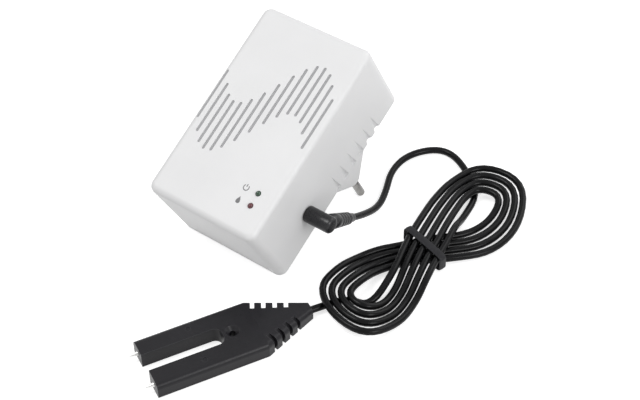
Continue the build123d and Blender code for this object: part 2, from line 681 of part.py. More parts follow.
with BuildPart(UNIT) as driver_transistor:
    with BuildSketch(UNIT.offset(BOARD_FACE + TRANSISTOR_UP)):
        with Locations((TRANSISTOR_U, CHIP_V)):
            Circle(TRANSISTOR_R)
        with Locations((TRANSISTOR_U, CHIP_V - TRANSISTOR_FLAT - TRANSISTOR_R)):
            Rectangle(3 * TRANSISTOR_R, 2 * TRANSISTOR_R, mode=Mode.SUBTRACT)
    extrude(amount=TRANSISTOR_H)
    for number in (-1, 0, 1):
        with Locations((TRANSISTOR_U + number * TRANSISTOR_PITCH, CHIP_V, BOARD_FACE)):
            Box(TRANSISTOR_LEG, TRANSISTOR_LEG, TRANSISTOR_UP, align=BOTTOM)
keep(driver_transistor, "driver_transistor")

with BuildPart(UNIT) as resistors:
    for number in range(RESISTOR_COUNT):
        up = RESISTOR_V + number * RESISTOR_PITCH
        with Locations((RESISTOR_U, up, BOARD_FACE + RESISTOR_UP)):
            Cylinder(RESISTOR_R, RESISTOR_L, rotation=ALONG_U)
            Cylinder(RESISTOR_LEG_R, RESISTOR_SPAN, rotation=ALONG_U)
        for side in (-1, 1):
            with Locations((RESISTOR_U + side * (RESISTOR_SPAN / 2 - RESISTOR_LEG_R), up, BOARD_FACE)):
                Cylinder(RESISTOR_LEG_R, RESISTOR_UP, align=BOTTOM)
keep(resistors, "resistors")

# Sounder: case screwed behind the grille, with its disc on a ledge
with BuildPart(UNIT) as sounder_case:
    with Locations((GRILLE_U, WAVE_MIDDLE, FRONT_IN)):
        Cylinder(SOUNDER_R, SOUNDER_T, align=TOP)
        Cylinder(SOUNDER_R - SOUNDER_WALL, SOUNDER_T / 2, align=TOP, mode=Mode.SUBTRACT)
        Cylinder(DISC_R - SOUNDER_WALL, SOUNDER_T - SOUNDER_WALL, align=TOP, mode=Mode.SUBTRACT)
    with BuildSketch(UNIT.offset(FRONT_IN - SOUNDER_T / 2)):
        with Locations((GRILLE_U, WAVE_MIDDLE)):
            Rectangle(2 * (SOUNDER_R + EAR_R - EAR_SINK), 2 * EAR_R)
            Circle(SOUNDER_R - SOUNDER_WALL / 2, mode=Mode.SUBTRACT)
        with Locations(*SOUNDER_EARS):
            Circle(EAR_R)
            Circle(SMALL_SCREW_R + SCREW_FIT, mode=Mode.SUBTRACT)
    extrude(amount=-SOUNDER_WALL)
keep(sounder_case, "sounder_case")

with BuildPart(UNIT) as sounder_disc:
    with Locations((GRILLE_U, WAVE_MIDDLE, FRONT_IN - SOUNDER_T / 2)):
        Cylinder(DISC_R, DISC_T, align=BOTTOM)
keep(sounder_disc, "sounder_disc")

with BuildPart(UNIT) as sounder_screws:
    ear_back = FRONT_IN - SOUNDER_T / 2 - SOUNDER_WALL
    bite = SOUNDER_WALL + SOUNDER_T / 2 - EAR_SCREW_SHY
    screws(SOUNDER_EARS, ear_back, 1, bite, SMALL_SCREW_R, SMALL_HEAD_R, SMALL_HEAD_T)
keep(sounder_screws, "sounder_screws")

with BuildPart(UNIT) as sounder_wires:
    for side in (-1, 1):
        with Locations((GRILLE_U + side * LINK_PITCH / 2, WAVE_MIDDLE - LINK_FROM_MIDDLE, BOARD_FACE)):
            Cylinder(LINK_R, FRONT_IN - SOUNDER_T - BOARD_FACE, align=BOTTOM)
keep(sounder_wires, "sounder_wires")

# Lamps on their small board, which is screwed to two short posts
with BuildPart(UNIT) as indicator_board:
    with BuildSketch(UNIT.offset(INDICATOR_FACE)):
        with Locations(INDICATOR_SPOT):
            Rectangle(INDICATOR_W, INDICATOR_L)
        with Locations(*INDICATOR_POSTS):
            Circle(SMALL_SCREW_R + SCREW_FIT, mode=Mode.SUBTRACT)
    extrude(amount=-INDICATOR_T)
keep(indicator_board, "indicator_board")

with BuildPart(UNIT) as indicator_screws:
    back = INDICATOR_FACE - INDICATOR_T
    screws(INDICATOR_POSTS, back, 1, INDICATOR_T + SMALL_BITE, SMALL_SCREW_R, SMALL_HEAD_R, SMALL_HEAD_T)
keep(indicator_screws, "indicator_screws")

with BuildPart(UNIT) as indicator_wires:
    for number in range(INDICATOR_WIRES):
        across = LED_U + (number - (INDICATOR_WIRES - 1) / 2) * INDICATOR_WIRE_PITCH
        with Locations((across, LED_RED_V - INDICATOR_WIRE_DROP, BOARD_FACE)):
            Cylinder(LINK_R, INDICATOR_FACE - INDICATOR_T - BOARD_FACE, align=BOTTOM)
keep(indicator_wires, "indicator_wires")

for led_name, led_v in (("green_led", LED_GREEN_V), ("red_led", LED_RED_V)):
    with BuildPart(UNIT) as led:
        with Locations((LED_U, led_v, INDICATOR_FACE)):
            Cylinder(LED_FLANGE_R, LED_FLANGE_T, align=BOTTOM)
            Cylinder(LED_R, CASE_D + LED_PROUD - LED_R - INDICATOR_FACE, align=BOTTOM)
        with Locations((LED_U, led_v, CASE_D + LED_PROUD - LED_R)):
            Sphere(LED_R)
    keep(led, led_name)

# Jack socket on the board, its barrel in the side wall, and its bent solder tags
with BuildPart(UNIT) as jack_socket:
    with Locations((CASE_W - WALL - JACK_BODY_L / 2, JACK_V, BOARD_FACE)):
        Box(JACK_BODY_L, JACK_BODY_W, JACK_BODY_H, align=BOTTOM)
    with Locations((CASE_W - (WALL + BARREL_SHY) / 2, JACK_V, JACK_OUT)):
        Cylinder(BARREL_R, WALL - BARREL_SHY, rotation=ALONG_U)
    bore_l = SLEEVE_L + INSULATOR_L + TIP_L + 1
    with Locations((CASE_W - bore_l / 2, JACK_V, JACK_OUT)):
        Cylinder(SHAFT_R + SHAFT_GAP, bore_l, rotation=ALONG_U, mode=Mode.SUBTRACT)
keep(jack_socket, "jack_socket")

with BuildPart(UNIT) as jack_tags:
    for side in (-1, 1):
        with Locations((CASE_W - WALL - JACK_BODY_L / 2, JACK_V + side * (JACK_BODY_W + TAG_T) / 2, BOARD_FACE)):
            Box(TAG_NECK_W, TAG_T, TAG_H, align=BOTTOM)
            Box(TAG_W, TAG_T, TAG_FOOT_H, align=BOTTOM)
keep(jack_tags, "jack_tags")

# Plug: sleeve, insulating ring and tip, then the moulded right-angle body
JACK_FACE = UNIT.from_local_coords((CASE_W, JACK_V, JACK_OUT))
PLUG_FACE = JACK_FACE + Vector(PLUG_GAP, 0, 0)
PLUG_ELBOW = JACK_FACE + Vector(PLUG_AXIS_OUT, 0, 0)
ARM_WAY = Vector(0, math.cos(math.radians(ARM_DROP)), -math.sin(math.radians(ARM_DROP)))
SHAFT = Plane(origin=PLUG_FACE, x_dir=(0, 1, 0), z_dir=(-1, 0, 0))
ARM = Plane(origin=PLUG_ELBOW, x_dir=(1, 0, 0), z_dir=ARM_WAY)

with BuildPart() as plug_sleeve:
    with BuildSketch(SHAFT):
        Circle(SHAFT_R)
    extrude(amount=SLEEVE_L)
keep(plug_sleeve, "plug_sleeve")

with BuildPart() as plug_insulator:
    with BuildSketch(SHAFT.offset(SLEEVE_L)):
        Circle(SHAFT_R)
    extrude(amount=INSULATOR_L)
keep(plug_insulator, "plug_insulator")

with BuildPart() as plug_tip:
    tip_plane = Plane(origin=PLUG_FACE, x_dir=(-1, 0, 0), z_dir=(0, 1, 0))
    start = SLEEVE_L + INSULATOR_L
    with BuildSketch(tip_plane):
        with BuildLine():
            Polyline(
                (start, 0),
                (start, SHAFT_R),
                (start + 1.0, SHAFT_R),
                (start + 1.5, SHAFT_R * 0.72),
                (start + 2.2, SHAFT_R),
                (start + TIP_L - 0.5, SHAFT_R * 0.5),
                (start + TIP_L, SHAFT_R * 0.3),
                (start + TIP_L, 0),
                close=True,
            )
        make_face()
    revolve(axis=Axis(PLUG_FACE, (-1, 0, 0)))
keep(plug_tip, "plug_tip")

boot_slope = (PLUG_R - BOOT_SHOULDER_R) / BOOT_SHOULDER_AT
with BuildPart() as plug_body:
    with BuildSketch(Plane(origin=PLUG_FACE, x_dir=(0, 1, 0), z_dir=(1, 0, 0))):
        Circle(PLUG_R)
    extrude(amount=PLUG_AXIS_OUT - PLUG_GAP + PLUG_R)
    fillet(plug_body.faces().sort_by(Axis.X)[-1].edges(), PLUG_BACK_R)
    fillet(plug_body.faces().sort_by(Axis.X)[0].edges(), PLUG_FACE_R)
    with BuildSketch(ARM):
        Circle(PLUG_R)
    with BuildSketch(ARM.offset(ARM_BODY_L)):
        Circle(PLUG_R - boot_slope * ARM_BODY_L)
    loft()
keep(plug_body, "plug_body")

# Strain relief: tapered, with rings cut round it and a step down to the cord
with BuildPart() as plug_strain_relief:
    with BuildSketch(Plane(origin=PLUG_ELBOW, x_dir=ARM_WAY, z_dir=(1, 0, 0))):
        with BuildLine():
            outline = [(ARM_BODY_L, 0), (ARM_BODY_L, PLUG_R - boot_slope * ARM_BODY_L)]
            ring_pitch = (BOOT_SHOULDER_AT - ARM_BODY_L) / (BOOT_RINGS + 0.5)
            for number in range(BOOT_RINGS):
                ring_at = ARM_BODY_L + (number + 0.5) * ring_pitch
                for at, sunk in ((0, 0), (0, BOOT_RING_DEEP), (BOOT_RING_W, BOOT_RING_DEEP), (BOOT_RING_W, 0)):
                    outline.append((ring_at + at, PLUG_R - boot_slope * (ring_at + at) - sunk))
            outline.append((BOOT_SHOULDER_AT, BOOT_SHOULDER_R))
            outline.append((BOOT_SHOULDER_AT + BOOT_STEP_L, BOOT_R))
            outline.append((ARM_L, BOOT_R))
            outline.append((ARM_L, 0))
            Polyline(*outline, close=True)
        make_face()
    revolve(axis=Axis(PLUG_ELBOW, ARM_WAY))
keep(plug_strain_relief, "plug_strain_relief")


# Hank
def heading(angle):
    """Level unit vector at an angle from +X, in degrees."""
    return Vector(math.cos(math.radians(angle)), math.sin(math.radians(angle)), 0)


def hank_station(step):
    """Place and direction of the cord at a step; the strands are laid from the last one to the first."""
    strand = LAST_STRAND - step // len(LOOP)
    first, last, lift = LOOP[step % len(LOOP)]
    x, y, angle = (a + (b - a) * strand / LAST_STRAND for a, b in zip(first, last))
    return Vector(x, y, CORD_R + FLOOR_GAP + (lift if step else 0)), heading(angle)


def biarc(start, start_way, end, end_way):
    """Meeting point of two tangent arcs that join two places with given directions."""
    chord = end - start
    square = 2 * (start_way.dot(end_way) - 1)
    linear = -2 * chord.dot(start_way + end_way)
    root = math.sqrt(linear**2 - 4 * square * chord.dot(chord))
    reach = (-linear - root) / (2 * square) if abs(square) > 1e-9 else -chord.dot(chord) / linear
    reach = abs(reach) if reach > 0 else (-linear + root) / (2 * square)
    middle = (start + end + (start_way - end_way) * reach) * 0.5
    return middle, (middle - start - start_way * reach).normalized()


def arc_or_line(start, way, end):
    """Tangent arc, or the straight run where the arc would be flat."""
    if way.cross((end - start).normalized()).length < 1e-4:
        return Line(start, end)
    return TangentArc(start, end, tangent=way)


with BuildPart() as lead_hank:
    with BuildLine() as hank_path:
        for step in range(HANK_STEPS):
            start, start_way = hank_station(step)
            end, end_way = hank_station(step + 1)
            middle, middle_way = biarc(start, start_way, end, end_way)
            arc_or_line(start, start_way, middle)
            arc_or_line(middle, middle_way, end)
    hank_start, hank_way = hank_station(0)
    with BuildSketch(Plane(origin=hank_start, z_dir=hank_way)):
        Circle(CORD_R)
    sweep()
keep(lead_hank, "lead_hank")

SAMPLES = 8
hank_line = []
along = 0.0
for edge in hank_path.line.edges():
    for number in range(SAMPLES):
        hank_line.append((along + edge.length * number / SAMPLES, tuple(edge.position_at(number / SAMPLES))))
    along += edge.length
least = min(
    math.dist(p, q)
    for i, (s, p) in enumerate(hank_line)
    for t, q in hank_line[i + 1:]
    if t - s > 6 * CORD_R
)
print(f"hank: length {along:.0f}, least gap to itself {least - 2 * CORD_R:.2f}", end=", ")
print(f"volume {lead_hank.part.volume:.0f} of {math.pi * CORD_R**2 * along:.0f}")

# Free stretches of the lead: plug to hank, and hank to probe
arm_end = PLUG_ELBOW + ARM_WAY * ARM_L
lead_route = [arm_end, arm_end + ARM_WAY * LEAD_FIRST_RUN, *LEAD_POINTS]
lead_route += [hank_start - hank_way * LEAD_JOIN_RUN, hank_start]
lead_upper = tube(lead_route, CORD_R, "lead_upper")
keep(lead_upper, "lead_upper")

PROBE = Plane(origin=(PROBE_X, PROBE_Y, 0), x_dir=heading(PROBE_ANGLE), z_dir=(0, 0, 1))
neck = PROBE.from_local_coords((PROBE_L, 0, NECK_Z))
hank_end, hank_end_way = hank_station(HANK_STEPS)
tail_route = [hank_end, hank_end + hank_end_way * TAIL_JOIN_RUN, *TAIL_POINTS]
tail_route += [neck + heading(PROBE_ANGLE) * TAIL_NECK_RUN, neck]
lead_lower = tube(tail_route, CORD_R, "lead_lower")
keep(lead_lower, "lead_lower")

# Tie: a flat band round all the strands at the waist
tie_origin = Vector(*TIE_MIDDLE, TIE_T + FLOOR_GAP + TIE_INNER_H / 2)
with BuildPart() as hank_tie:
    with BuildSketch(Plane(origin=tie_origin, x_dir=heading(TIE_ANGLE + 90), z_dir=heading(TIE_ANGLE))):
        RectangleRounded(TIE_INNER_W + 2 * TIE_T, TIE_INNER_H + 2 * TIE_T, TIE_CORNER_R + TIE_T)
        RectangleRounded(TIE_INNER_W, TIE_INNER_H, TIE_CORNER_R, mode=Mode.SUBTRACT)
    extrude(amount=TIE_W / 2, both=True)
keep(hank_tie, "hank_tie")

# Probe
PRONG_V = (PROBE_W + PRONG_GAP) / 4


def probe_wire_path(side, length_in):
    """Route of one core inside the probe, from the neck to its electrode."""
    z_mid = PROBE_T / 2
    return [
        PROBE.from_local_coords((PROBE_L, side * CORE_R * 1.1, NECK_Z)),
        PROBE.from_local_coords((PROBE_L - 6, side * CORE_R * 1.1, NECK_Z)),
        PROBE.from_local_coords((SHOULDER, side * PRONG_V, z_mid)),
        PROBE.from_local_coords((length_in, side * PRONG_V, z_mid)),
    ]


def sweep_core(side, radius):
    """Sweep one core's round section along its route."""
    with BuildLine() as core_path:
        FilletPolyline(*probe_wire_path(side, ELECTRODE_IN), radius=4)
    with BuildSketch(Plane(origin=core_path.line @ 0, z_dir=core_path.line % 0)) as section:
        Circle(radius)
    sweep(section.sketch, path=core_path.line, mode=Mode.ADD if radius == CORE_R else Mode.SUBTRACT)


def probe_section(at, width, height, edge_r):
    """Cross-section of the probe: rounded along the top, nearly square at the foot."""
    origin = PROBE.from_local_coords((at, 0, 0))
    half = width / 2
    with BuildSketch(Plane(origin=origin, x_dir=PROBE.y_dir, z_dir=PROBE.x_dir)) as section:
        with BuildLine():
            corners = [(half, height), (-half, height), (-half, 0), (half, 0)]
            FilletPolyline(*corners, radius=[edge_r, edge_r, FOOT_EDGE_R, FOOT_EDGE_R], close=True)
        make_face()
    return section.sketch


with BuildPart() as probe_body:
    extrude(probe_section(0, PROBE_W, PROBE_T, TOP_EDGE_R), amount=SHOULDER)
    wide_end = probe_section(SHOULDER, PROBE_W, PROBE_T, TOP_EDGE_R)
    narrow_end = probe_section(PROBE_L, NECK_W, NECK_H, NECK_EDGE_R)
    loft([wide_end, narrow_end])
    with BuildSketch(PROBE) as slot:
        with Locations((PRONG_L / 2, 0)):
            Rectangle(PRONG_L, PRONG_GAP)
        fillet(slot.vertices().sort_by(Axis.X)[-2:], SLOT_END_R)
    extrude(amount=PROBE_T, mode=Mode.SUBTRACT)
    taper = Vector(PROBE_L - SHOULDER, -(PROBE_W - NECK_W) / 2).normalized()
    for number in range(GROOVE_COUNT):
        along = GROOVE_FIRST + number * GROOVE_PITCH
        for side in (-1, 1):
            foot = PROBE.from_local_coords((SHOULDER + taper.X * along, side * (PROBE_W / 2 + taper.Y * along), 0))
            flank = PROBE.x_dir * taper.X + PROBE.y_dir * (side * taper.Y)
            inward = PROBE.x_dir * taper.Y - PROBE.y_dir * (side * taper.X)
            with BuildSketch(Plane(origin=foot, x_dir=inward, z_dir=flank)) as wedge:
                with BuildLine():
                    rise = 1 if wedge.workplanes[0].y_dir.Z > 0 else -1
                    Polyline(
                        (-GROOVE_REACH, -rise),
                        (GROOVE_DEEP, -rise),
                        (GROOVE_DEEP, rise * GROOVE_FLOOR),
                        (GROOVE_REACH, rise * PROBE_T),
                        (GROOVE_REACH, rise * (PROBE_T + 1)),
                        (-GROOVE_REACH, rise * (PROBE_T + 1)),
                        close=True,
                    )
                make_face()
            extrude(amount=GROOVE_W / 2, both=True, mode=Mode.SUBTRACT)
    with Locations(Plane(origin=PROBE.from_local_coords((FIX_AT, 0, PROBE_T)), z_dir=(0, 0, 1))):
        Cylinder(FIX_R, PROBE_T, align=TOP, mode=Mode.SUBTRACT)
        Cone(FIX_R, FIX_SINK_R, FIX_SINK_DEEP, align=TOP, mode=Mode.SUBTRACT)
    dimples = [(DIMPLE_AT, PRONG_V), (DIMPLE_AT, -PRONG_V), (NECK_DIMPLE_AT, 0)]
    with BuildSketch(PROBE.offset(PROBE_T - DIMPLE_DEEP)):
        with Locations(*dimples):
            Circle(DIMPLE_R)
    extrude(amount=DIMPLE_DEEP * 2, mode=Mode.SUBTRACT)
    for side in (-1, 1):
        mouth = PROBE.from_local_coords((0, side * PRONG_V, PROBE_T / 2))
        with BuildSketch(Plane(origin=mouth, x_dir=PROBE.y_dir, z_dir=PROBE.x_dir)):
            Circle(ELECTRODE_R)
        extrude(amount=ELECTRODE_IN, mode=Mode.SUBTRACT)
        sweep_core(side, CORE_R + CORE_GAP)
keep(probe_body, "probe_body")

for electrode_name, side in (("electrode_left", 1), ("electrode_right", -1)):
    with BuildPart() as electrode:
        inner = PROBE.from_local_coords((ELECTRODE_IN, side * PRONG_V, PROBE_T / 2))
        outward = Plane(origin=inner, x_dir=PROBE.y_dir, z_dir=-PROBE.x_dir)
        with BuildSketch(outward):
            Circle(ELECTRODE_R)
        extrude(amount=ELECTRODE_IN)
        with BuildSketch(outward.offset(ELECTRODE_IN)):
            Circle(ELECTRODE_R)
        with BuildSketch(outward.offset(ELECTRODE_IN + ELECTRODE_OUT)):
            Circle(ELECTRODE_TIP_R)
        loft()
    keep(electrode, electrode_name)

with BuildPart() as probe_cores:
    for side in (-1, 1):
        sweep_core(side, CORE_R)
keep(probe_cores, "probe_cores")

for piece in pieces:
    export_step(piece.part, f"parts/{piece.part.label}.step")
print(f"{len(pieces)} nodes, unit tilted {TILT:.2f} degrees")
for label, spot in zip(("left", "right"), PIN_SPOTS):
    print(f"{label} pin axis at {UNIT.from_local_coords((*spot, -BOSS_L - PIN_OUT / 2))}, out along {-UNIT.z_dir}")
print(f"jack face {JACK_FACE}, fixing hole {PROBE.from_local_coords((FIX_AT, 0, PROBE_T / 2))}")
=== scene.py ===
"""Water leak detector: a plug-in alarm unit, its tied sensor lead and its forked probe.

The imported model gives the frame. This file dresses it: the lead is laid as one smooth cord, some visible
pieces get finer surfaces, and every piece gets its finish. Places are in the part's own frame, with +Z up
and the floor at Z = 0. The studio and the finishes are sized in metres, the pieces in millimetres.
"""

import json
import logging
import math
from dataclasses import dataclass, field
from enum import Enum

import bmesh
import bpy
import numpy as np
from mathutils import Matrix, Vector

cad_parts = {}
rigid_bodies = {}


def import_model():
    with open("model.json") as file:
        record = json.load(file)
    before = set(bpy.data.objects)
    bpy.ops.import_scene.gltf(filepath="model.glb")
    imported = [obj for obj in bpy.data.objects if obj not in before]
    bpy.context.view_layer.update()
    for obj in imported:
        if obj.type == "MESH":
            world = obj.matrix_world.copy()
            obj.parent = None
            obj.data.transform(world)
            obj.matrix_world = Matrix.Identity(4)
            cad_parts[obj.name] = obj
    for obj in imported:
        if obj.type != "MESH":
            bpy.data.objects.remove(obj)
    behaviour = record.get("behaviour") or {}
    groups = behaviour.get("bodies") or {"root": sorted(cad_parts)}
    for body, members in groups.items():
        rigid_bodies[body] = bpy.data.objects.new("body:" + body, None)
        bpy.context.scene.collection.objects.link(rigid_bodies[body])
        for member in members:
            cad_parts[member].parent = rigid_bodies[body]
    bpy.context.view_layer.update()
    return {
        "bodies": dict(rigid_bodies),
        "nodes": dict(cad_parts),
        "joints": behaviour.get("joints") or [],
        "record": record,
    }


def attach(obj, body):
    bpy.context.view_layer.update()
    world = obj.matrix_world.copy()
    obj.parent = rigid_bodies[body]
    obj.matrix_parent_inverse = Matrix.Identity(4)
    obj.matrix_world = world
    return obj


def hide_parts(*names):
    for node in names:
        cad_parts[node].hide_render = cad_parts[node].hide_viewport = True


Colour = tuple[float, float, float]
Spot = tuple[float, float, float]
Socket = bpy.types.NodeSocket
Material = bpy.types.Material
Piece = bpy.types.Object
Profile = list[tuple[float, float]]

LOG = logging.getLogger("leak_detector")
MM = 0.001
WHITE = (1.0, 1.0, 1.0, 1.0)
STRAIGHT = 1e-9
WELD_REACH = 1e-7


class Body(Enum):
    """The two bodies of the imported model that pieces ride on."""

    UNIT = "alarm_unit"
    LEAD = "sensor_lead"


# Shader building


class Nodes:
    """A node tree, with short calls that add nodes and join them."""

    def __init__(self, tree: bpy.types.NodeTree) -> None:
        """Take a tree over and empty it."""
        self.tree = tree
        self.tree.nodes.clear()

    def add(self, kind: str, **values: float | tuple) -> bpy.types.Node:
        """Add one node.

        Args:
            kind: The node's type without its first word, ShaderNode.
            values: Values of its inputs, by names with spaces as underscores.

        Returns:
            The node.
        """
        node = self.tree.nodes.new(f"ShaderNode{kind}")
        for name, value in values.items():
            node.inputs[name.replace("_", " ")].default_value = value
        return node

    def link(self, source: Socket, target: Socket) -> None:
        """Join two sockets."""
        self.tree.links.new(source, target)


class Shader(Nodes):
    """A material's node tree, with short calls for the nodes that the finishes use."""

    def __init__(self, name: str) -> None:
        """Start a material with a Principled shader and the object's own coordinates.

        Args:
            name: The material's name.
        """
        self.material = bpy.data.materials.new(name)
        self.material.use_nodes = True
        super().__init__(self.material.node_tree)
        self.bsdf = self.add("BsdfPrincipled")
        self.link(self.bsdf.outputs["BSDF"], self.add("OutputMaterial").inputs["Surface"])
        self.coordinates = self.add("TexCoord").outputs["Object"]

    def set(self, **values: float) -> None:
        """Write constant values on the Principled shader's own sockets, named as in add."""
        for name, value in values.items():
            self.bsdf.inputs[name.replace("_", " ")].default_value = value

    def drive(self, name: str, source: Socket) -> None:
        """Feed one of the Principled shader's sockets."""
        self.link(source, self.bsdf.inputs[name])

    def stretched(self, scale: Spot) -> Socket:
        """Coordinates scaled on each axis for one pattern.

        Args:
            scale: Scale on each axis.

        Returns:
            The scaled vector.
        """
        mapping = self.add("Mapping", Scale=scale)
        self.link(self.coordinates, mapping.inputs["Vector"])
        return mapping.outputs["Vector"]

    def noise(
        self, scale: float, detail: float = 2.0, rough: float = 0.5, at: Socket | None = None
    ) -> Socket:
        """Noise value at a scale given in features per metre.

        Args:
            scale: Features per metre.
            detail: Octaves.
            rough: How strong the finer octaves are.
            at: Coordinates, or the material's own.

        Returns:
            The noise's factor, about 0.3 to 0.7.
        """
        node = self.add("TexNoise", Scale=scale, Detail=detail, Roughness=rough)
        self.link(at or self.coordinates, node.inputs["Vector"])
        return node.outputs["Fac"]

    def cells(self, scale: float) -> Socket:
        """Distance to the nearest of scattered points, for a spark-eroded grain.

        Args:
            scale: Points per metre.

        Returns:
            The distance.
        """
        node = self.add("TexVoronoi", Scale=scale)
        self.link(self.coordinates, node.inputs["Vector"])
        return node.outputs["Distance"]

    def span(self, value: Socket, low: float, high: float, to_low: float, to_high: float) -> Socket:
        """Map a value from one range to another, held at the ends.

        Args:
            value: The value.
            low: Start of its range.
            high: End of its range.
            to_low: What the start becomes.
            to_high: What the end becomes.

        Returns:
            The mapped value.
        """
        node = self.add("MapRange", From_Min=low, From_Max=high, To_Min=to_low, To_Max=to_high)
        self.link(value, node.inputs["Value"])
        return node.outputs["Result"]

    def spread(self, noise: Socket, to_low: float, to_high: float) -> Socket:
        """Map noise's usual range, 0.3 to 0.7, to another."""
        return self.span(noise, 0.3, 0.7, to_low, to_high)

    def bands(self, axis: str, scale: float, waver: float = 0.0) -> Socket:
        """Ridges that follow each other along one axis.

        Args:
            axis: X, Y or Z.
            scale: About a third of the number of ridges in a metre.
            waver: How far the ridges stray.

        Returns:
            The ridges' height, from 0 to 1.
        """
        wave = self.add("TexWave", Scale=scale, Distortion=waver)
        wave.bands_direction = axis
        self.link(self.coordinates, wave.inputs["Vector"])
        return wave.outputs["Fac"]

    def mix(self, share: Socket, first: tuple | Socket, second: tuple | Socket) -> Socket:
        """Blend two colours.

        Args:
            share: How much of the second colour.
            first: Colour or socket.
            second: Colour or socket.

        Returns:
            The blended colour.
        """
        node = self.add("Mix")
        node.data_type = "RGBA"
        self.link(share, node.inputs[0])
        for socket, colour in ((node.inputs[6], first), (node.inputs[7], second)):
            if isinstance(colour, tuple):
                socket.default_value = (*colour, 1.0)
            else:
                self.link(colour, socket)
        return node.outputs[2]

    def sum(self, first: Socket, second: Socket, weight: float = 1.0) -> Socket:
        """First value plus the second times a weight.

        Args:
            first: The first value.
            second: The second value.
            weight: What the second is multiplied by.

        Returns:
            The sum.
        """
        node = self.add("Math")
        node.operation = "MULTIPLY_ADD"
        self.link(second, node.inputs[0])
        node.inputs[1].default_value = weight
        self.link(first, node.inputs[2])
        return node.outputs[0]

    def edge(self, reach: float, samples: int = 4, full_turn: float = 0.75) -> Socket:
        """How sharp the surface turns within a reach, from 0 on a flat to 1 on an edge.

        Args:
            reach: Bevel radius in metres.
            samples: Samples of the bevel.
            full_turn: Cosine between the bevelled and the true normal that counts as an edge.

        Returns:
            The edge value.
        """
        bevel = self.add("Bevel", Radius=reach)
        bevel.samples = samples
        geometry = self.add("NewGeometry")
        dot = self.add("VectorMath")
        dot.operation = "DOT_PRODUCT"
        self.link(bevel.outputs["Normal"], dot.inputs[0])
        self.link(geometry.outputs["Normal"], dot.inputs[1])
        return self.span(dot.outputs["Value"], 1.0, full_turn, 0.0, 1.0)

    def bump(self, height: Socket, strength: float, depth: float) -> None:
        """Raise the surface's shading by a height.

        Args:
            height: The height value.
            strength: Share of the effect.
            depth: Height in metres of a value of 1.
        """
        node = self.add("Bump", Strength=strength, Distance=depth)
        self.link(height, node.inputs["Height"])
        self.drive("Normal", node.outputs["Normal"])


# Finishes


@dataclass(frozen=True)
class MouldedPlastic:
    """Injection-moulded plastic: fine eroded grain, slow changes of tone, edges lit by a painted
    highlight.
    """

    name: str
    colour: Colour
    shade: Colour
    roughness: float = 0.42
    grain: float = 3200.0
    grain_deep: float = 0.00003
    # Edges within the edge reach get a lighter colour: a painted highlight.
    edge_reach: float = 0.0006
    edge_highlight_colour: Colour | None = None
    specular: float = 0.5
    patches: float = 28.0
    glossier: float = 0.07
    duller: float = 0.09
    cell_share: float = 0.6
    fine_weight: float = 0.7
    relief: float = 0.35

    def build(self) -> Material:
        """Make the material.

        Returns:
            The material.
        """
        made = Shader(self.name)
        slow = made.span(made.noise(self.patches, 3.0), 0.35, 0.65, 0.0, 1.0)
        colour = made.mix(slow, self.colour, self.shade)
        # Painted highlight: the edges turn to the lighter edge colour.
        if self.edge_highlight_colour:
            wear_and_highlight = made.edge(self.edge_reach)
            colour = made.mix(wear_and_highlight, colour, self.edge_highlight_colour)
        made.drive("Base Color", colour)
        fine = made.noise(self.grain, 3.0, 0.6)
        rough = made.spread(fine, self.roughness - self.glossier, self.roughness + self.duller)
        made.drive("Roughness", rough)
        height = made.sum(made.cells(self.grain * self.cell_share), fine, self.fine_weight)
        made.bump(height, self.relief, self.grain_deep)
        made.set(IOR=1.49, Specular_IOR_Level=self.specular)
        return made.material


@dataclass(frozen=True)
class TurnedMetal:
    """Plated or polished metal with fine drawn lines and small dull patches."""

    name: str
    colour: Colour
    roughness: float = 0.24
    lines: Spot = (900.0, 900.0, 60.0)
    dull_share: float = 0.72
    dull_spots: float = 160.0
    dull_rough: float = 0.12
    glossier: float = 0.06
    duller: float = 0.1
    line_deep: float = 0.00002

    def build(self) -> Material:
        """Make the material.

        Returns:
            The material.
        """
        made = Shader(self.name)
        drawn = made.noise(3.0, 3.0, 0.6, made.stretched(self.lines))
        dull = made.span(made.noise(self.dull_spots, 4.0), 0.42, 0.68, 0.0, 1.0)
        darker = tuple(part * self.dull_share for part in self.colour)
        made.drive("Base Color", made.mix(dull, self.colour, darker))
        rough = made.spread(drawn, self.roughness - self.glossier, self.roughness + self.duller)
        made.drive("Roughness", made.sum(rough, dull, self.dull_rough))
        made.bump(drawn, 0.25, self.line_deep)
        made.set(Metallic=1.0)
        return made.material


@dataclass(frozen=True)
class CordJacket:
    """Soft black jacket of the lead: satin, with a fine and a coarser grain and dusty patches."""

    name: str = "cord_jacket_satin"
    colour: Colour = (0.003, 0.003, 0.0035)
    dusty: Colour = (0.008, 0.008, 0.009)
    roughness: float = 0.2
    glossier: float = 0.05
    duller: float = 0.08
    dust_spots: float = 95.0
    dust_rough: float = 0.1
    coarse_weight: float = 1.4
    grain_deep: float = 0.00004

    def build(self) -> Material:
        """Make the material.

        Returns:
            The material.
        """
        made = Shader(self.name)
        dust = made.span(made.noise(self.dust_spots, 4.0, 0.6), 0.45, 0.75, 0.0, 1.0)
        made.drive("Base Color", made.mix(dust, self.colour, self.dusty))
        fine = made.noise(1500.0, 3.0, 0.6)
        rough = made.spread(fine, self.roughness - self.glossier, self.roughness + self.duller)
        made.drive("Roughness", made.sum(rough, dust, self.dust_rough))
        made.bump(made.sum(fine, made.noise(420.0, 2.0), self.coarse_weight), 0.3, self.grain_deep)
        made.set(IOR=1.5, Specular_IOR_Level=0.13)
        return made.material


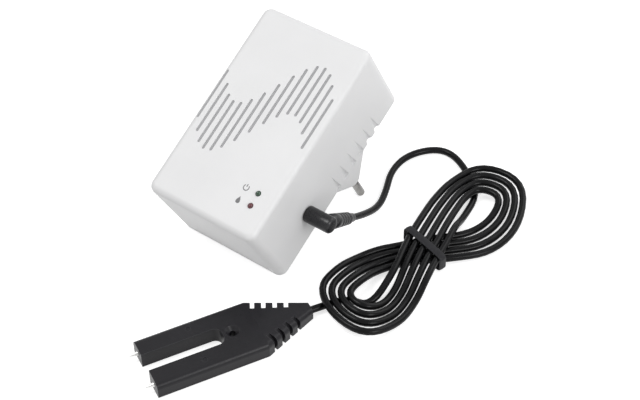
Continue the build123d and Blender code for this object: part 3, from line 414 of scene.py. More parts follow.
@dataclass(frozen=True)
class LampDome:
    """Tinted diffusing epoxy of an indicator lamp."""

    name: str
    colour: Colour
    deep: Colour
    coat: float = 0.3
    coat_rough: float = 0.08

    def build(self) -> Material:
        """Make the material.

        Returns:
            The material.
        """
        made = Shader(self.name)
        cloud = made.span(made.noise(900.0, 3.0), 0.35, 0.65, 0.0, 1.0)
        made.drive("Base Color", made.mix(cloud, self.colour, self.deep))
        made.drive("Roughness", made.span(cloud, 0.0, 1.0, 0.12, 0.22))
        made.bump(cloud, 0.15, 0.00002)
        made.set(IOR=1.53, Coat_Weight=self.coat, Coat_Roughness=self.coat_rough)
        return made.material


@dataclass(frozen=True)
class Laminate:
    """Circuit board laminate: woven cloth under green lacquer."""

    name: str = "board_green_laminate"
    colour: Colour = (0.02, 0.13, 0.05)
    weave: Colour = (0.03, 0.17, 0.07)
    thread: float = 2600.0
    thread_l: float = 240.0

    def build(self) -> Material:
        """Make the material.

        Returns:
            The material.
        """
        made = Shader(self.name)
        thin, long = self.thread, self.thread_l
        across = made.noise(1.0, 1.0, 0.5, made.stretched((thin, long, long)))
        along = made.noise(1.0, 1.0, 0.5, made.stretched((long, thin, thin)))
        threads = made.span(made.sum(across, along), 0.8, 1.2, 0.0, 1.0)
        made.drive("Base Color", made.mix(threads, self.colour, self.weave))
        made.drive("Roughness", made.span(threads, 0.0, 1.0, 0.28, 0.4))
        made.bump(threads, 0.2, 0.00003)
        return made.material


@dataclass(frozen=True)
class WoundWire:
    """Enamelled wire laid in close turns, as fine ridges along one axis, with painted shade in the
    grooves.
    """

    name: str = "winding_enamelled_wire"
    colour: Colour = (0.45, 0.16, 0.05)
    # The groove colour is painted shade between the turns.
    groove_shade: Colour = (0.2, 0.06, 0.02)
    ridges: float = 400.0
    waver: float = 0.6
    ridge_deep: float = 0.0001

    def build(self) -> Material:
        """Make the material.

        Returns:
            The material.
        """
        made = Shader(self.name)
        ridges = made.bands("Z", self.ridges, self.waver)
        # Painted shade: the grooves between the ridges turn darker.
        made.drive("Base Color", made.mix(ridges, self.groove_shade, self.colour))
        made.drive("Roughness", made.spread(made.noise(700.0), 0.25, 0.4))
        made.bump(ridges, 0.6, self.ridge_deep)
        made.set(Metallic=0.7)
        return made.material


@dataclass(frozen=True)
class FineScreen:
    """Grey moulded gauze: rows of tiny holes in two directions, drawn as darker dots of painted shade."""

    name: str = "screen_pale_gauze"
    colour: Colour = (0.44, 0.44, 0.45)
    # The hole colour is painted shade: the holes are not cut.
    hole_shade: Colour = (0.24, 0.24, 0.25)
    rows: float = 416.6667

    def build(self) -> Material:
        """Make the material.

        Returns:
            The material.
        """
        made = Shader(self.name)
        crossed = made.sum(made.bands("X", self.rows), made.bands("Y", self.rows))
        open_share = made.span(crossed, 1.2, 1.8, 0.0, 1.0)
        # Painted shade: the open places of the pattern turn darker.
        made.drive("Base Color", made.mix(open_share, self.colour, self.hole_shade))
        made.drive("Roughness", made.spread(made.noise(1800.0, 3.0), 0.5, 0.65))
        made.bump(open_share, 0.3, 0.00005)
        return made.material


@dataclass(frozen=True)
class PrintedInk:
    """Thin printed ink with slightly broken edges of tone."""

    name: str = "printed_grey_ink"
    colour: Colour = (0.11, 0.11, 0.115)
    wear_and_highlight: Colour = (0.18, 0.18, 0.185)

    def build(self) -> Material:
        """Make the material.

        Returns:
            The material.
        """
        made = Shader(self.name)
        patchy = made.span(made.noise(2500.0, 4.0, 0.7), 0.4, 0.7, 0.0, 1.0)
        made.drive("Base Color", made.mix(patchy, self.colour, self.wear_and_highlight))
        made.drive("Roughness", made.span(patchy, 0.0, 1.0, 0.4, 0.6))
        made.bump(patchy, 0.2, 0.00001)
        return made.material


FINISHES = {
    "housing_plastic": MouldedPlastic(
        "housing_white_moulded", (0.79, 0.79, 0.795), (0.765, 0.765, 0.77),
        roughness=0.46, grain=3000.0, grain_deep=0.00004,
    ),
    "pin_metal": TurnedMetal("pin_nickel_plate", (0.25, 0.245, 0.235), 0.16, (60.0, 60.0, 1200.0)),
    "screw_steel": TurnedMetal("screw_zinc_steel", (0.55, 0.55, 0.54), 0.3),
    "carrier_plastic": MouldedPlastic(
        "carrier_ivory_plastic", (0.66, 0.62, 0.5), (0.6, 0.56, 0.45), 0.5, 2600.0
    ),
    "wire_red": MouldedPlastic(
        "wire_red_sleeve", (0.45, 0.03, 0.025), (0.36, 0.02, 0.02), 0.35, 2200.0
    ),
    "board_laminate": Laminate(),
    "core_iron": TurnedMetal("core_iron_sheets", (0.2, 0.19, 0.18), 0.5, (60.0, 2400.0, 2400.0)),
    "bobbin_plastic": MouldedPlastic(
        "bobbin_black_plastic", (0.02, 0.02, 0.022), (0.03, 0.03, 0.03), 0.45, 2600.0
    ),
    "winding_copper": WoundWire(),
    "fuse_glass": LampDome("fuse_glass_tube", (0.55, 0.6, 0.58), (0.42, 0.47, 0.46)),
    "contact_metal": TurnedMetal("contact_tinned_metal", (0.66, 0.66, 0.64), 0.28),
    "surge_coat": MouldedPlastic(
        "surge_blue_coat", (0.03, 0.08, 0.32), (0.02, 0.06, 0.25), 0.38, 2000.0
    ),
    "component_black": MouldedPlastic(
        "component_black_epoxy", (0.018, 0.018, 0.018), (0.028, 0.028, 0.028), 0.5, 3800.0
    ),
    "capacitor_sleeve": MouldedPlastic(
        "capacitor_blue_sleeve", (0.015, 0.03, 0.12), (0.02, 0.04, 0.15), 0.25, 1800.0
    ),
    "resistor_coat": MouldedPlastic(
        "resistor_tan_coat", (0.42, 0.3, 0.17), (0.36, 0.25, 0.14), 0.4, 2400.0
    ),
    "sounder_plastic": MouldedPlastic(
        "sounder_grey_plastic", (0.34, 0.34, 0.35), (0.29, 0.29, 0.3), 0.5, 2600.0
    ),
    "disc_brass": TurnedMetal("disc_brass_sheet", (0.6, 0.43, 0.15), 0.3),
    "lamp_green": LampDome("lamp_green_epoxy", (0.012, 0.06, 0.026), (0.008, 0.035, 0.018)),
    "lamp_red": LampDome("lamp_red_epoxy", (0.13, 0.006, 0.016), (0.06, 0.003, 0.008)),
    "plug_metal": TurnedMetal("plug_nickel_plate", (0.62, 0.61, 0.59), 0.18),
    "plug_plastic": MouldedPlastic(
        "plug_black_moulded", (0.01, 0.01, 0.012), (0.017, 0.017, 0.019),
        roughness=0.28, grain=2400.0, grain_deep=0.00004,
        # The lighter edge colour is a painted highlight along the plug's edges.
        edge_reach=0.0005, edge_highlight_colour=(0.04, 0.04, 0.043), specular=0.42,
    ),
    "cord_jacket": CordJacket(),
    "tie_plastic": MouldedPlastic(
        "tie_black_cover", (0.012, 0.012, 0.014), (0.02, 0.02, 0.023),
        grain=1800.0, grain_deep=0.00005,
        # The lighter edge colour is a painted highlight along the tie's edges.
        edge_reach=0.0003, edge_highlight_colour=(0.02, 0.02, 0.024), specular=0.18,
    ),
    "probe_plastic": MouldedPlastic(
        "probe_charcoal_moulded", (0.007, 0.0065, 0.0085), (0.0105, 0.01, 0.0125),
        roughness=0.34, grain=2300.0, grain_deep=0.00005,
        # The lighter edge colour is a painted highlight along the probe's rounded edges.
        edge_highlight_colour=(0.045, 0.045, 0.05), specular=0.26,
    ),
    "electrode_metal": TurnedMetal("electrode_bright_steel", (0.66, 0.66, 0.65), 0.2),
    "print_ink": PrintedInk(),
    "screen_plastic": FineScreen(),
}


class Palette:
    """Every finish of the object, each made once when it is first asked for."""

    def __init__(self) -> None:
        """Start with nothing made."""
        self.made: dict[str, Material] = {}

    def material(self, slot: str) -> Material:
        """The material of a finish.

        Args:
            slot: The finish's name.

        Returns:
            The material, made at the first call.
        """
        if slot not in self.made:
            self.made[slot] = FINISHES[slot].build()
        return self.made[slot]

    def dress(self, piece: Piece, slot: str) -> None:
        """Give a piece a slot's finish, whatever material slots it has.

        Args:
            piece: The object.
            slot: The finish's name.
        """
        if not piece.material_slots:
            piece.data.materials.append(self.material(slot))
        for place in piece.material_slots:
            place.material = self.material(slot)


# Mesh making


def put(name: str, data: bpy.types.ID) -> Piece:
    """Make an object of a mesh, curve, camera or light, linked to the scene."""
    piece = bpy.data.objects.new(name, data)
    bpy.context.scene.collection.objects.link(piece)
    return piece


def add_mesh(name: str, points: np.ndarray, quads: np.ndarray, smooth: bool = True) -> Piece:
    """Put worked-out points and faces into a mesh object at the origin.

    Args:
        name: The object's name.
        points: Array of places, one row each.
        quads: Array of faces, one row of corner numbers each.
        smooth: Whether the faces shade smoothly.

    Returns:
        The object, linked to the scene.
    """
    mesh = bpy.data.meshes.new(name)
    mesh.from_pydata(points.tolist(), [], quads.tolist())
    mesh.polygons.foreach_set("use_smooth", np.full(len(mesh.polygons), smooth))
    mesh.validate()
    mesh.update()
    return put(name, mesh)


def grid_quads(rows: int, columns: int) -> np.ndarray:
    """Faces of a grid of points whose rows are closed rings.

    Each face joins a point, the next in its row, and the two above them.

    Args:
        rows: Rows of points.
        columns: Points in each row.

    Returns:
        Array of faces.
    """
    row, column = np.meshgrid(np.arange(rows - 1), np.arange(columns), indexing="ij")
    after = (column + 1) % columns
    here, above = row * columns, (row + 1) * columns
    return np.stack([here + column, here + after, above + after, above + column], -1).reshape(-1, 4)


def turned(name: str, origin: Vector, way: Vector, profile: Profile, around: int) -> Piece:
    """Surface of revolution: a profile of distances along the way and radii, carried round it.

    Args:
        name: The object's name.
        origin: Where the axis starts.
        way: The axis's direction.
        profile: Pairs in millimetres; a first or last radius of 0 closes that end.
        around: Points in each ring.

    Returns:
        The object.
    """
    axis = np.array(way.normalized())
    side = np.cross(axis, [0.0, 0.0, 1.0])
    side /= np.linalg.norm(side)
    other = np.cross(axis, side)
    along, radius = np.array(profile).T * MM
    angle = np.linspace(0.0, 2.0 * np.pi, around, endpoint=False)
    ring = np.cos(angle)[:, None] * side + np.sin(angle)[:, None] * other
    points = np.array(origin) + along[:, None, None] * axis + radius[:, None, None] * ring[None, :, :]
    piece = add_mesh(name, points.reshape(-1, 3), grid_quads(len(profile), around))
    weld(piece)
    return piece


def weld(piece: Piece, reach: float = WELD_REACH) -> None:
    """Merge doubled points and turn all faces outwards.

    Args:
        piece: The mesh object.
        reach: Points nearer than this become one.
    """
    work = bmesh.new()
    work.from_mesh(piece.data)
    bmesh.ops.remove_doubles(work, verts=work.verts, dist=reach)
    bmesh.ops.recalc_face_normals(work, faces=work.faces)
    work.to_mesh(piece.data)
    work.free()
    piece.data.update()


# The photograph's view


@dataclass(frozen=True)
class SoftLight:
    """Square soft light: where it hangs, what it points at, its watts and its side in metres."""

    name: str
    place: Spot
    target: Spot
    power: float
    side: float

    def hang(self) -> None:
        """Add the light to the scene."""
        data = bpy.data.lights.new(self.name, "AREA")
        data.energy = self.power
        data.size = self.side
        lamp = put(self.name, data)
        lamp.location = self.place
        way = Vector(self.target) - Vector(self.place)
        lamp.rotation_euler = way.to_track_quat("-Z", "Y").to_euler()


@dataclass
class Studio:
    """Camera, floor, backdrop and lights."""

    camera_place: Spot = (0.37599, -0.42520, 0.58277)
    right: Spot = (0.79833731, 0.60201863, -0.01520227)
    down: Spot = (0.40576749, -0.55639894, -0.72510204)
    ahead: Spot = (-0.44498346, 0.57270742, -0.68847362)
    lens: float = 83.80
    sensor: float = 36.0
    near: float = 0.01
    floor_half: float = 6.0
    paper: float = 0.74
    floor_glow: float = 0.68
    world_light: float = 0.42
    world_seen: float = 1.0
    lights: tuple[SoftLight, ...] = (
        SoftLight("key_light", (-0.45, -0.35, 1.2), (0.0, 0.02, 0.03), power=6.3, side=0.5),
        SoftLight("fill_light", (1.15, -0.1, 0.7), (0.02, 0.0, 0.03), power=6.4, side=0.6),
        SoftLight("back_light", (0.35, 1.0, 0.9), (0.03, 0.02, 0.03), power=4.0, side=0.8),
    )

    def set_camera(self) -> None:
        """Place the camera that was fitted to the photograph."""
        data = bpy.data.cameras.new("photo_camera")
        data.sensor_width = self.sensor
        data.lens = self.lens
        data.clip_start = self.near
        camera = put("photo_camera", data)
        columns = [Vector(self.right), -Vector(self.down), -Vector(self.ahead)]
        turn = Matrix(columns).transposed().to_4x4()
        camera.matrix_world = Matrix.Translation(Vector(self.camera_place)) @ turn
        bpy.context.scene.camera = camera

    def background_rays(self, nodes: Nodes) -> Socket:
        """Which rays see the white background: those of the camera, of gloss and of glass.

        Args:
            nodes: The node tree to add to.

        Returns:
            1 for such a ray, else 0.
        """
        rays = nodes.add("LightPath").outputs
        found = rays["Is Camera Ray"]
        for kind in ("Is Glossy Ray", "Is Transmission Ray"):
            either = nodes.add("Math")
            either.operation = "MAXIMUM"
            nodes.link(found, either.inputs[0])
            nodes.link(rays[kind], either.inputs[1])
            found = either.outputs[0]
        return found

    def mix_shaders(self, nodes: Nodes, light: Socket, seen: Socket, target: Socket) -> None:
        """Show one shader to the background rays and the other to the rest.

        Args:
            nodes: The node tree.
            light: The shader that lights the object.
            seen: The shader of the background rays.
            target: Where the mixed shader goes.
        """
        mixed = nodes.add("MixShader")
        nodes.link(self.background_rays(nodes), mixed.inputs["Fac"])
        nodes.link(light, mixed.inputs[1])
        nodes.link(seen, mixed.inputs[2])
        nodes.link(mixed.outputs[0], target)

    def set_floor(self) -> None:
        """Lay the pale floor, which the camera sees as white except where the object shades it."""
        corners = self.floor_half * np.array([[-1, -1, 0], [1, -1, 0], [1, 1, 0], [-1, 1, 0]])
        floor = add_mesh("studio_floor", corners, np.array([[0, 1, 2, 3]]), smooth=False)
        material = bpy.data.materials.new("studio_floor_paper")
        material.use_nodes = True
        nodes = Nodes(material.node_tree)
        paper = nodes.add("BsdfDiffuse", Color=(self.paper, self.paper, self.paper, 1.0)).outputs[0]
        glow = nodes.add("Emission", Color=WHITE, Strength=self.floor_glow)
        added = nodes.add("AddShader")
        nodes.link(paper, added.inputs[0])
        nodes.link(glow.outputs[0], added.inputs[1])
        self.mix_shaders(nodes, paper, added.outputs[0], nodes.add("OutputMaterial").inputs["Surface"])
        floor.data.materials.append(material)

    def set_world(self) -> None:
        """Even surroundings: white where the camera, gloss or glass sees them, softer as light."""
        world = bpy.data.worlds.new("studio_world")
        bpy.context.scene.world = world
        world.use_nodes = True
        nodes = Nodes(world.node_tree)
        soft = nodes.add("Background", Color=WHITE, Strength=self.world_light).outputs[0]
        white = nodes.add("Background", Color=WHITE, Strength=self.world_seen).outputs[0]
        self.mix_shaders(nodes, soft, white, nodes.add("OutputWorld").inputs["Surface"])

    def build(self) -> None:
        """Set the whole studio up."""
        bpy.context.scene.view_settings.view_transform = "Standard"
        self.set_camera()
        self.set_floor()
        self.set_world()
        for light in self.lights:
            light.hang()
        LOG.info("studio: camera, floor, world and %d lights", len(self.lights))


# The sensor lead


def heading(degrees: float) -> np.ndarray:
    """Level unit vector at an angle from +X."""
    return np.array([math.cos(math.radians(degrees)), math.sin(math.radians(degrees)), 0.0])


@dataclass
class Probe:
    """Where the forked probe lies on the floor, which the cord's end follows, in millimetres."""

    origin: Spot = (5.6, -94.9, 0.0)
    angle: float = 62.7
    length: float = 92.0
    neck_z: float = 3.2

    def way(self) -> np.ndarray:
        """Direction from the prong ends towards the neck."""
        return heading(self.angle)

    def neck(self) -> np.ndarray:
        """Where the cord enters the probe."""
        return np.array(self.origin) + self.way() * self.length + np.array([0.0, 0.0, self.neck_z])


@dataclass
class Hank:
    """The wound part of the lead: a figure of eight whose downward strands lie on its upward ones.

    Each place on the loop has its first strand's x, y and heading, those of its last, and a lift.
    """

    cord_r: float = 2.0
    floor_gap: float = 0.05
    loop: tuple[tuple[Spot, Spot, float], ...] = (
        ((54.5, 98.0, -88), (73.2, 98.0, -80), 4.2),
        ((58.3, 74.0, -80), (78.4, 74.0, -76), 5.7),
        ((65.4, 44.5, -72), (84.5, 45.5, -76), 5.7),
        ((71.0, 18.0, -88), (89.3, 18.0, -85), 0.2),
        ((64.0, 8.2, 180), (72.3, -12.4, 177), 4.8),
        ((63.4, 11.0, 84), (43.3, 10.6, 91), 5.2),
        ((68.2, 36.5, 57), (47.6, 38.0, 66), 1.2),
        ((83.8, 53.4, 38), (62.9, 59.8, 55), 1.2),
        ((107.6, 91.8, 92), (85.6, 93.6, 77), 0.0),
        ((71.2, 140.0, 184), (76.0, 116.4, 186), 4.2),
    )
    last_strand: int = 4
    steps: int = 42

    def stations(self) -> tuple[np.ndarray, np.ndarray]:
        """Places and directions of the cord at each tenth of a turn.

        A place lies between its first and its last strand's by the strand's number over the last one's,
        and the strands are laid from the last to the first. The very first place lies on the floor.

        Returns:
            Arrays of places and of unit directions.
        """
        step = np.arange(self.steps + 1)
        here = step % len(self.loop)
        first, last, lift = (np.array(column)[here] for column in zip(*self.loop))
        share = (self.last_strand - step // len(self.loop)) / self.last_strand
        spot = first + (last - first) * share[:, None]
        height = self.cord_r + self.floor_gap + np.where(step == 0, 0.0, lift)
        angle = np.radians(spot[:, 2])
        way = np.column_stack([np.cos(angle), np.sin(angle), np.zeros(len(step))])
        return np.column_stack([spot[:, :2], height]), way

    def control_points(self) -> np.ndarray:
        """Corners of the smooth line through the stations.

        Between two stations run two arcs that meet halfway with one tangent. Each arc's corner is where
        its two end tangents meet: the start plus its direction times the reach, and the end minus its
        direction times the reach. For the chord c and the directions d0 and d1, the reach solves
        reach^2 * 2 (d0.d1 - 1) - reach * 2 c.(d0 + d1) + c.c = 0.

        Returns:
            Array of corners in millimetres, two per tenth of a turn.
        """
        place, way = self.stations()
        start, end = place[:-1], place[1:]
        first, last = way[:-1], way[1:]
        chord = end - start
        square = 2.0 * (np.sum(first * last, axis=1) - 1.0)
        linear = -2.0 * np.sum(chord * (first + last), axis=1)
        long = np.sum(chord * chord, axis=1)
        flat = np.abs(square) < STRAIGHT
        safe = np.where(flat, 1.0, square)
        root = np.sqrt(linear**2 - 4.0 * square * long)
        lesser = (-linear - root) / (2.0 * safe)
        greater = (-linear + root) / (2.0 * safe)
        reach = np.where(flat, -long / linear, np.where(lesser > 0, lesser, greater))
        reach = np.abs(reach)[:, None]
        corners = np.stack([start + first * reach, end - last * reach], axis=1)
        return corners.reshape(-1, 3)

    def ends(self) -> tuple[np.ndarray, np.ndarray, np.ndarray, np.ndarray]:
        """First and last places and directions of the winding."""
        place, way = self.stations()
        return place[0], way[0], place[-1], way[-1]


@dataclass
class SensorLead:
    """The lead: from the jack plug's strain relief through the tied hank to the probe's neck."""

    hank: Hank = field(default_factory=Hank)
    probe: Probe = field(default_factory=Probe)
    cord_r: float = 2.0
    arm_end: Spot = (32.3, 45.568, 16.077)
    arm_drop: float = 31.8
    first_run: float = 10.0
    join_run: float = 17.0
    lead_points: tuple[Spot, ...] = (
        (31.4, 71.8, 2.9),
        (26.5, 86.1, 2.05),
        (19.2, 101.3, 2.05),
        (18.8, 117.7, 2.05),
        (27.7, 131.6, 2.05),
        (38.7, 135.1, 2.05),
        (53.2, 128.0, 2.05),
    )
    tail_join_run: float = 13.0
    tail_points: tuple[Spot, ...] = ((71.3, 8.0, 2.05), (57.9, 6.4, 2.05))
    neck_run: float = 3.0
    length: float = 1.536
    spline_order: int = 3
    steps_along: int = 5
    steps_round: int = 3
    carried: tuple[str, ...] = ("jack_plug_barrel", "jack_plug_arm", "hank_tie_band")

    def arm_way(self) -> np.ndarray:
        """Direction in which the cord leaves the strain relief."""
        drop = math.radians(self.arm_drop)
        return np.array([0.0, math.cos(drop), -math.sin(drop)])

    def route(self) -> np.ndarray:
        """Every control point of the cord, in metres.

        Returns:
            Array of points, from the strain relief's end to the probe's neck.
        """
        start = np.array(self.arm_end)
        hank_start, start_way, hank_end, end_way = self.hank.ends()
        neck = self.probe.neck()
        points = [
            start,
            start + self.arm_way() * self.first_run,
            *map(np.array, self.lead_points),
            hank_start - start_way * self.join_run,
            *self.hank.control_points(),
            hank_end + end_way * self.tail_join_run,
            *map(np.array, self.tail_points),
            neck + self.probe.way() * self.neck_run,
            neck,
        ]
        return np.array(points) * MM

    def build(self, palette: Palette) -> None:
        """Lay the cord as one smooth spline.

        Args:
            palette: The finishes.
        """
        points = self.route()
        data = bpy.data.curves.new("sensor_cord", "CURVE")
        data.dimensions = "3D"
        spline = data.splines.new("NURBS")
        spline.points.add(len(points) - 1)
        spline.points.foreach_set("co", np.column_stack([points, np.ones(len(points))]).ravel())
        spline.use_endpoint_u = True
        spline.order_u = self.spline_order
        spline.resolution_u = self.steps_along
        data.bevel_depth = self.cord_r * MM
        data.bevel_resolution = self.steps_round
        data.use_fill_caps = True
        cord = put("sensor_cord", data)
        palette.dress(cord, "cord_jacket")
        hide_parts("lead_upper", "lead_hank", "lead_lower")
        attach(cord, Body.LEAD.value)
        LOG.info("sensor_cord: %d control points", len(points))


# The tie round the hank


@dataclass
class HankTie:
    """Flat covered tie round all the strands at the waist, with a wire ridge along its middle."""

    middle: tuple[float, float] = (71.6, 58.3)
    angle: float = 74.4
    inner_w: float = 29.2
    inner_h: float = 9.0
    thick: float = 0.95
    width: float = 4.4
    floor_gap: float = 0.05
    squareness: float = 8.0
    edge_squareness: float = 5.0
    ridge: float = 0.16
    ridge_half: float = 0.45
    around: int = 160
    across: int = 36

    def build(self, palette: Palette) -> None:
        """Make the band.

        Its run is a superellipse: half its length times the cosine to the power of 2 over the squareness,
        and half its height times the sine to that power. Round each point of it goes a small superellipse
        of the band's width and thickness, raised on its outer side by a bell curve along the middle.

        Args:
            palette: The finishes.
        """
        turn = np.linspace(0.0, 2.0 * np.pi, self.around, endpoint=False)
        half_w, half_h = (self.inner_w + self.thick) / 2, (self.inner_h + self.thick) / 2
        wide = half_w * self.squared(np.cos(turn), self.squareness)
        high = half_h * self.squared(np.sin(turn), self.squareness)
        run = np.column_stack([wide, high])
        way = np.roll(run, -1, axis=0) - np.roll(run, 1, axis=0)
        way /= np.linalg.norm(way, axis=1)[:, None]
        out = np.column_stack([way[:, 1], -way[:, 0]])
        round_it = np.linspace(0.0, 2.0 * np.pi, self.across, endpoint=False)
        side = self.width / 2 * self.squared(np.cos(round_it), self.edge_squareness)
        rise = self.thick / 2 * self.squared(np.sin(round_it), self.edge_squareness)
        rise = rise - self.ridge * (rise > 0) * (1.0 - np.exp(-((side / self.ridge_half) ** 2)))
        level = heading(self.angle - 90.0)
        along = heading(self.angle)
        centre = np.array([*self.middle, self.floor_gap + self.thick + self.inner_h / 2])
        upright = np.array([0.0, 0.0, 1.0])
        flat = run[:, None, :] + rise[None, :, None] * out[:, None, :]
        points = centre + flat[..., :1] * level + flat[..., 1:] * upright + side[None, :, None] * along
        rings = np.concatenate([points, points[:1]])
        quads = grid_quads(self.around + 1, self.across)
        piece = add_mesh("hank_tie_band", rings.reshape(-1, 3) * MM, quads)
        weld(piece)
        palette.dress(piece, "tie_plastic")
        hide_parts("hank_tie")
        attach(piece, Body.LEAD.value)
        LOG.info("hank_tie_band: %d faces", len(piece.data.polygons))

    @staticmethod
    def squared(wave: np.ndarray, squareness: float) -> np.ndarray:
        """Sine or cosine pushed towards 1 and -1: its size to the power of 2 over the squareness."""
        return np.sign(wave) * np.abs(wave) ** (2.0 / squareness)


# The alarm unit's face


@dataclass
class FaceMarks:
    """Two small printed signs beside the lamps: a plain power sign and a water drop."""

    corner: Spot = (-51.0, -1.0, 0.0)
    depth: float = 53.0
    tip_v: float = 68.8
    tip_w: float = 34.8
    tip_r: float = 1.2
    mark_u: float = 51.6
    power_v: float = 24.6
    drop_v: float = 17.1
    power_r: float = 1.6
    power_open: float = 38.0
    stroke: float = 0.27
    bar: tuple[float, float] = (0.35, 2.1)
    drop_half: float = 2.1
    drop_w: float = 1.75
    drop_point: float = 1.5
    ink_t: float = 0.02
    ink_sunk: float = 0.05
    fine: int = 64
    weld_reach: float = 1e-8

    def place(self, spots: np.ndarray, out: float) -> np.ndarray:
        """Points of the unit's front in the part's frame.

        The unit's back leans from the floor by the angle of the pins' tips and of their end rounding.

        Args:
            spots: Rows of across and up, in millimetres.
            out: Height over the back.

        Returns:
            Rows of points in metres.
        """
        rounding = math.asin(self.tip_r / math.hypot(self.tip_w, self.tip_v))
        lean = math.atan2(self.tip_w, self.tip_v) + rounding
        up = np.array([0.0, math.cos(lean), math.sin(lean)])
        outward = np.array([0.0, -math.sin(lean), math.cos(lean)])
        right = np.array([1.0, 0.0, 0.0])
        level = spots[:, :1] * right + spots[:, 1:] * up
        return (np.array(self.corner) + level + out * outward) * MM

    def stroke_piece(self, name: str, line: np.ndarray, half: np.ndarray, palette: Palette) -> None:
        """Thin inked stroke along a line on the front.

        Each point of the line gets four corners: to either side by its half width, just under the face
        and at the ink's thickness over it. The half width is nothing at both ends, which closes them.

        Args:
            name: The piece's name.
            line: Rows of across and up.
            half: Half width at each row.
            palette: The finishes.
        """
        way = np.gradient(line, axis=0)
        way /= np.linalg.norm(way, axis=1)[:, None]
        side = np.column_stack([-way[:, 1], way[:, 0]]) * half[:, None]
        low, high = self.depth - self.ink_sunk, self.depth + self.ink_t
        corners = ((line + side, low), (line + side, high), (line - side, high), (line - side, low))
        points = np.stack([self.place(edge, level) for edge, level in corners], axis=1)
        piece = add_mesh(name, points.reshape(-1, 3), grid_quads(len(line), 4), smooth=False)
        weld(piece, self.weld_reach)
        palette.dress(piece, "print_ink")
        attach(piece, Body.UNIT.value)
        LOG.info("%s: %d faces", name, len(piece.data.polygons))

    def rounded(self, length: float) -> np.ndarray:
        """Half widths of a stroke with round ends, each end following half a circle.

        Args:
            length: The stroke's length.

        Returns:
            Array of half widths, evenly spaced along the stroke.
        """
        along = np.linspace(0.0, length, self.fine)
        near = np.minimum(along, length - along)
        inset = np.clip(1.0 - near / self.stroke, 0.0, 1.0)
        return self.stroke * np.sqrt(1.0 - inset**2)

    def build(self, palette: Palette) -> None:
        """Make the broken ring and bar of the power sign, and the drop.

        The ring is a circle left open at the top, the bar a straight line through the opening. The
        drop's height runs as the cosine of a half turn, and its half width as the sine of it times the
        sine of half of it to the power of the drop's point.

        Args:
            palette: The finishes.
        """
        power = np.array([self.mark_u, self.power_v])
        turn = np.radians(np.linspace(90.0 + self.power_open, 450.0 - self.power_open, self.fine))
        ring = power + self.power_r * np.column_stack([np.cos(turn), np.sin(turn)])
        round_l = self.power_r * float(turn[-1] - turn[0])
        self.stroke_piece("power_sign_ring", ring, self.rounded(round_l), palette)
        bar = power + np.column_stack([np.zeros(self.fine), np.linspace(*self.bar, self.fine)])
        self.stroke_piece("power_sign_bar", bar, self.rounded(self.bar[1] - self.bar[0]), palette)
        swing = np.linspace(0.0, np.pi, self.fine)
        rise = np.column_stack([np.zeros(self.fine), self.drop_half * np.cos(swing)])
        height = np.array([self.mark_u, self.drop_v]) + rise
        half = self.drop_w * np.sin(swing) * np.sin(swing / 2.0) ** self.drop_point
        half[[0, -1]] = 0.0
        self.stroke_piece("water_drop_sign", height, half, palette)


@dataclass
class GrilleScreen:
    """Fine pale screen across every grille slot, so that dust stays out of the sounder."""

    face: FaceMarks = field(default_factory=FaceMarks)
    case_w: float = 71.0
    level: float = 52.1
    thick: float = 0.3
    into_wall: float = 0.12
    count: int = 15
    left: float = 2.7
    right: float = 4.5
    slot_l: float = 31.2
    slot_w: float = 1.7
    wave_height: float = 18.9
    wave_middle: float = 66.7
    wave_slots: float = 15.25
    fine: int = 40

    def build(self, palette: Palette) -> None:
        """Make one thin strip in each slot.

        The slots' middles follow a sine wave across the front. A strip's half width is the slot's own,
        and follows half a circle near both ends, where it closes. The strips reach a little way into the
        wall.

        Args:
            palette: The finishes.
        """
        number = np.arange(self.count)
        across = self.left + number * (self.case_w - self.left - self.right) / (self.count - 1)
        wave = 2.0 * np.pi * (number - (self.count - 1) / 2) / self.wave_slots
        middle = self.wave_middle + self.wave_height * np.sin(wave)
        reach = self.slot_l / 2 + self.into_wall
        half = self.slot_w / 2 + self.into_wall
        up = -reach * np.cos(np.linspace(0.0, np.pi, self.fine))
        wide = half * np.sqrt(1.0 - np.clip((np.abs(up) - reach + half) / half, 0.0, 1.0) ** 2)
        low, high = self.level, self.level + self.thick
        corners = []
        for side, level in ((-1, low), (-1, high), (1, high), (1, low)):
            spots = np.stack([across[:, None] + side * wide, middle[:, None] + up], axis=-1)
            corners.append(self.face.place(spots.reshape(-1, 2), level))
        points = np.stack(corners, axis=1).reshape(-1, 3)
        strip = grid_quads(self.fine, 4)
        quads = (strip[None] + (number * self.fine * 4)[:, None, None]).reshape(-1, 4)
        piece = add_mesh("grille_screen", points, quads, smooth=False)
        weld(piece)
        palette.dress(piece, "screen_plastic")
        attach(piece, Body.UNIT.value)
        LOG.info("grille_screen: %d faces", len(piece.data.polygons))


# The jack plug


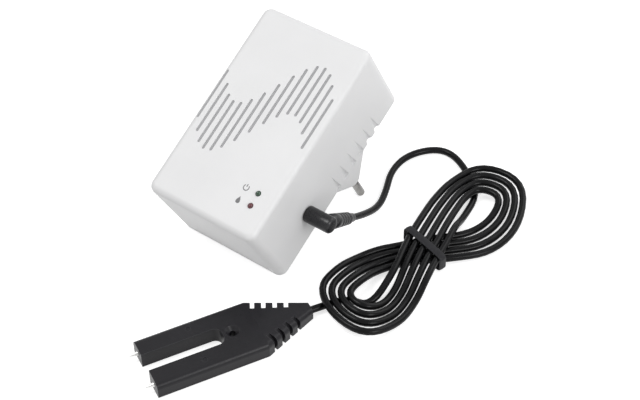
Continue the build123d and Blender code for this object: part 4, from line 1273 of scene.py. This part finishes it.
@dataclass
class JackPlug:
    """Moulded right-angle plug: a barrel in line with the jack, and an arm with a ringed end."""

    face: Spot = (20.3, 21.770995, 30.832155)
    elbow_out: float = 12.0
    arm_drop: float = 31.8
    barrel_r: float = 4.75
    back_r: float = 1.7
    face_r: float = 0.6
    shoulder_at: float = 22.5
    shoulder_r: float = 3.5
    body_at: float = 10.0
    step_l: float = 2.5
    boot_r: float = 2.5
    arm_l: float = 28.0
    rings: int = 4
    ring_w: float = 1.1
    ring_deep: float = 0.45
    ring_flank: float = 0.22
    ring_edge: float = 0.06
    arm_shy: float = 0.15
    arm_end_r: float = 0.3
    around: int = 96
    rim_points: int = 7
    back_points: int = 11
    step_points: int = 9
    end_points: int = 5

    def arc(
        self, middle: tuple[float, float], radius: float, start: float, end: float, count: int
    ) -> Profile:
        """Points of an arc in a profile.

        Args:
            middle: Distance and radius of the arc's middle.
            radius: The arc's radius.
            start: First angle, in degrees from the axis's direction.
            end: Last angle.
            count: How many points.

        Returns:
            The points.
        """
        along, out = middle
        angles = np.radians(np.linspace(start, end, count))
        return [(along + radius * float(np.cos(a)), out + radius * float(np.sin(a))) for a in angles]

    def barrel_profile(self) -> Profile:
        """Distance and radius along the barrel, with a rounded face rim and a rounder back."""
        end = self.elbow_out + self.barrel_r
        rim = (self.face_r, self.barrel_r - self.face_r)
        front = self.arc(rim, self.face_r, 180.0, 90.0, self.rim_points)
        corner = (end - self.back_r, self.barrel_r - self.back_r)
        back = self.arc(corner, self.back_r, 90.0, 0.0, self.back_points)
        return [(0.0, 0.0), *front, *back, (end, 0.0)]

    def arm_profile(self) -> Profile:
        """Distance and radius along the arm: a taper cut by rings, then a step down to the cord."""
        slope = (self.barrel_r - self.shoulder_r) / self.shoulder_at
        pitch = (self.shoulder_at - self.body_at) / (self.rings + 0.5)
        flank, deep, soft = self.ring_flank, self.ring_deep, self.ring_edge
        entry = [(-flank, 0.0), (0.0, soft), (flank, deep - soft), (2 * flank, deep)]
        cut = entry + [(self.ring_w - along, sunk) for along, sunk in reversed(entry)]
        profile = [(0.0, 0.0), (0.0, self.barrel_r - self.arm_shy)]
        for number in range(self.rings):
            middle = self.body_at + (number + 0.5) * pitch
            for along, sunk in cut:
                at = middle + along
                profile.append((at, self.barrel_r - slope * at - sunk))
        drop = self.shoulder_r - self.boot_r
        for angle in np.linspace(0.0, np.pi, self.step_points):
            along = self.shoulder_at + self.step_l * float(angle / np.pi)
            profile.append((along, self.boot_r + drop * float(0.5 + 0.5 * np.cos(angle))))
        end_r = self.arm_end_r
        profile += self.arc((self.arm_l - end_r, self.boot_r - end_r), end_r, 90.0, 0.0, self.end_points)
        return [*profile, (self.arm_l, 0.0)]

    def build(self, palette: Palette) -> None:
        """Turn both profiles round their axes.

        The barrel's axis is the jack's. The arm's drops towards the floor from a point on it, the elbow.

        Args:
            palette: The finishes.
        """
        drop = math.radians(self.arm_drop)
        way = Vector((0.0, math.cos(drop), -math.sin(drop)))
        face = Vector(self.face)
        elbow = face + Vector((self.elbow_out, 0.0, 0.0))
        straight = Vector((1.0, 0.0, 0.0))
        barrel = turned("jack_plug_barrel", face * MM, straight, self.barrel_profile(), self.around)
        arm = turned("jack_plug_arm", elbow * MM, way, self.arm_profile(), self.around)
        for piece, node in ((barrel, "plug_body"), (arm, "plug_strain_relief")):
            palette.dress(piece, "plug_plastic")
            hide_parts(node)
            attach(piece, Body.LEAD.value)
            LOG.info("%s: %d faces", piece.name, len(piece.data.polygons))


# Carried-over pieces


class CarriedPieces:
    """CAD nodes whose shape is right and which only get their finish."""

    def build(self, palette: Palette, frame: dict) -> None:
        """Dress every CAD node with the finish of its own slot.

        Args:
            palette: The finishes.
            frame: The loaded frame.
        """
        slots = {part["node"]: part["material_slot"] for part in frame["record"]["subparts"]}
        for name, slot in slots.items():
            palette.dress(frame["nodes"][name], slot)
        LOG.info("carried pieces: %d dressed", len(slots))


def main() -> None:
    """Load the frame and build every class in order."""
    logging.basicConfig(level=logging.INFO, format="%(name)s: %(message)s")
    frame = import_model()
    palette = Palette()
    Studio().build()
    JackPlug().build(palette)
    HankTie().build(palette)
    SensorLead().build(palette)
    FaceMarks().build(palette)
    GrilleScreen().build(palette)
    CarriedPieces().build(palette, frame)


if __name__ == "__main__":
    main()
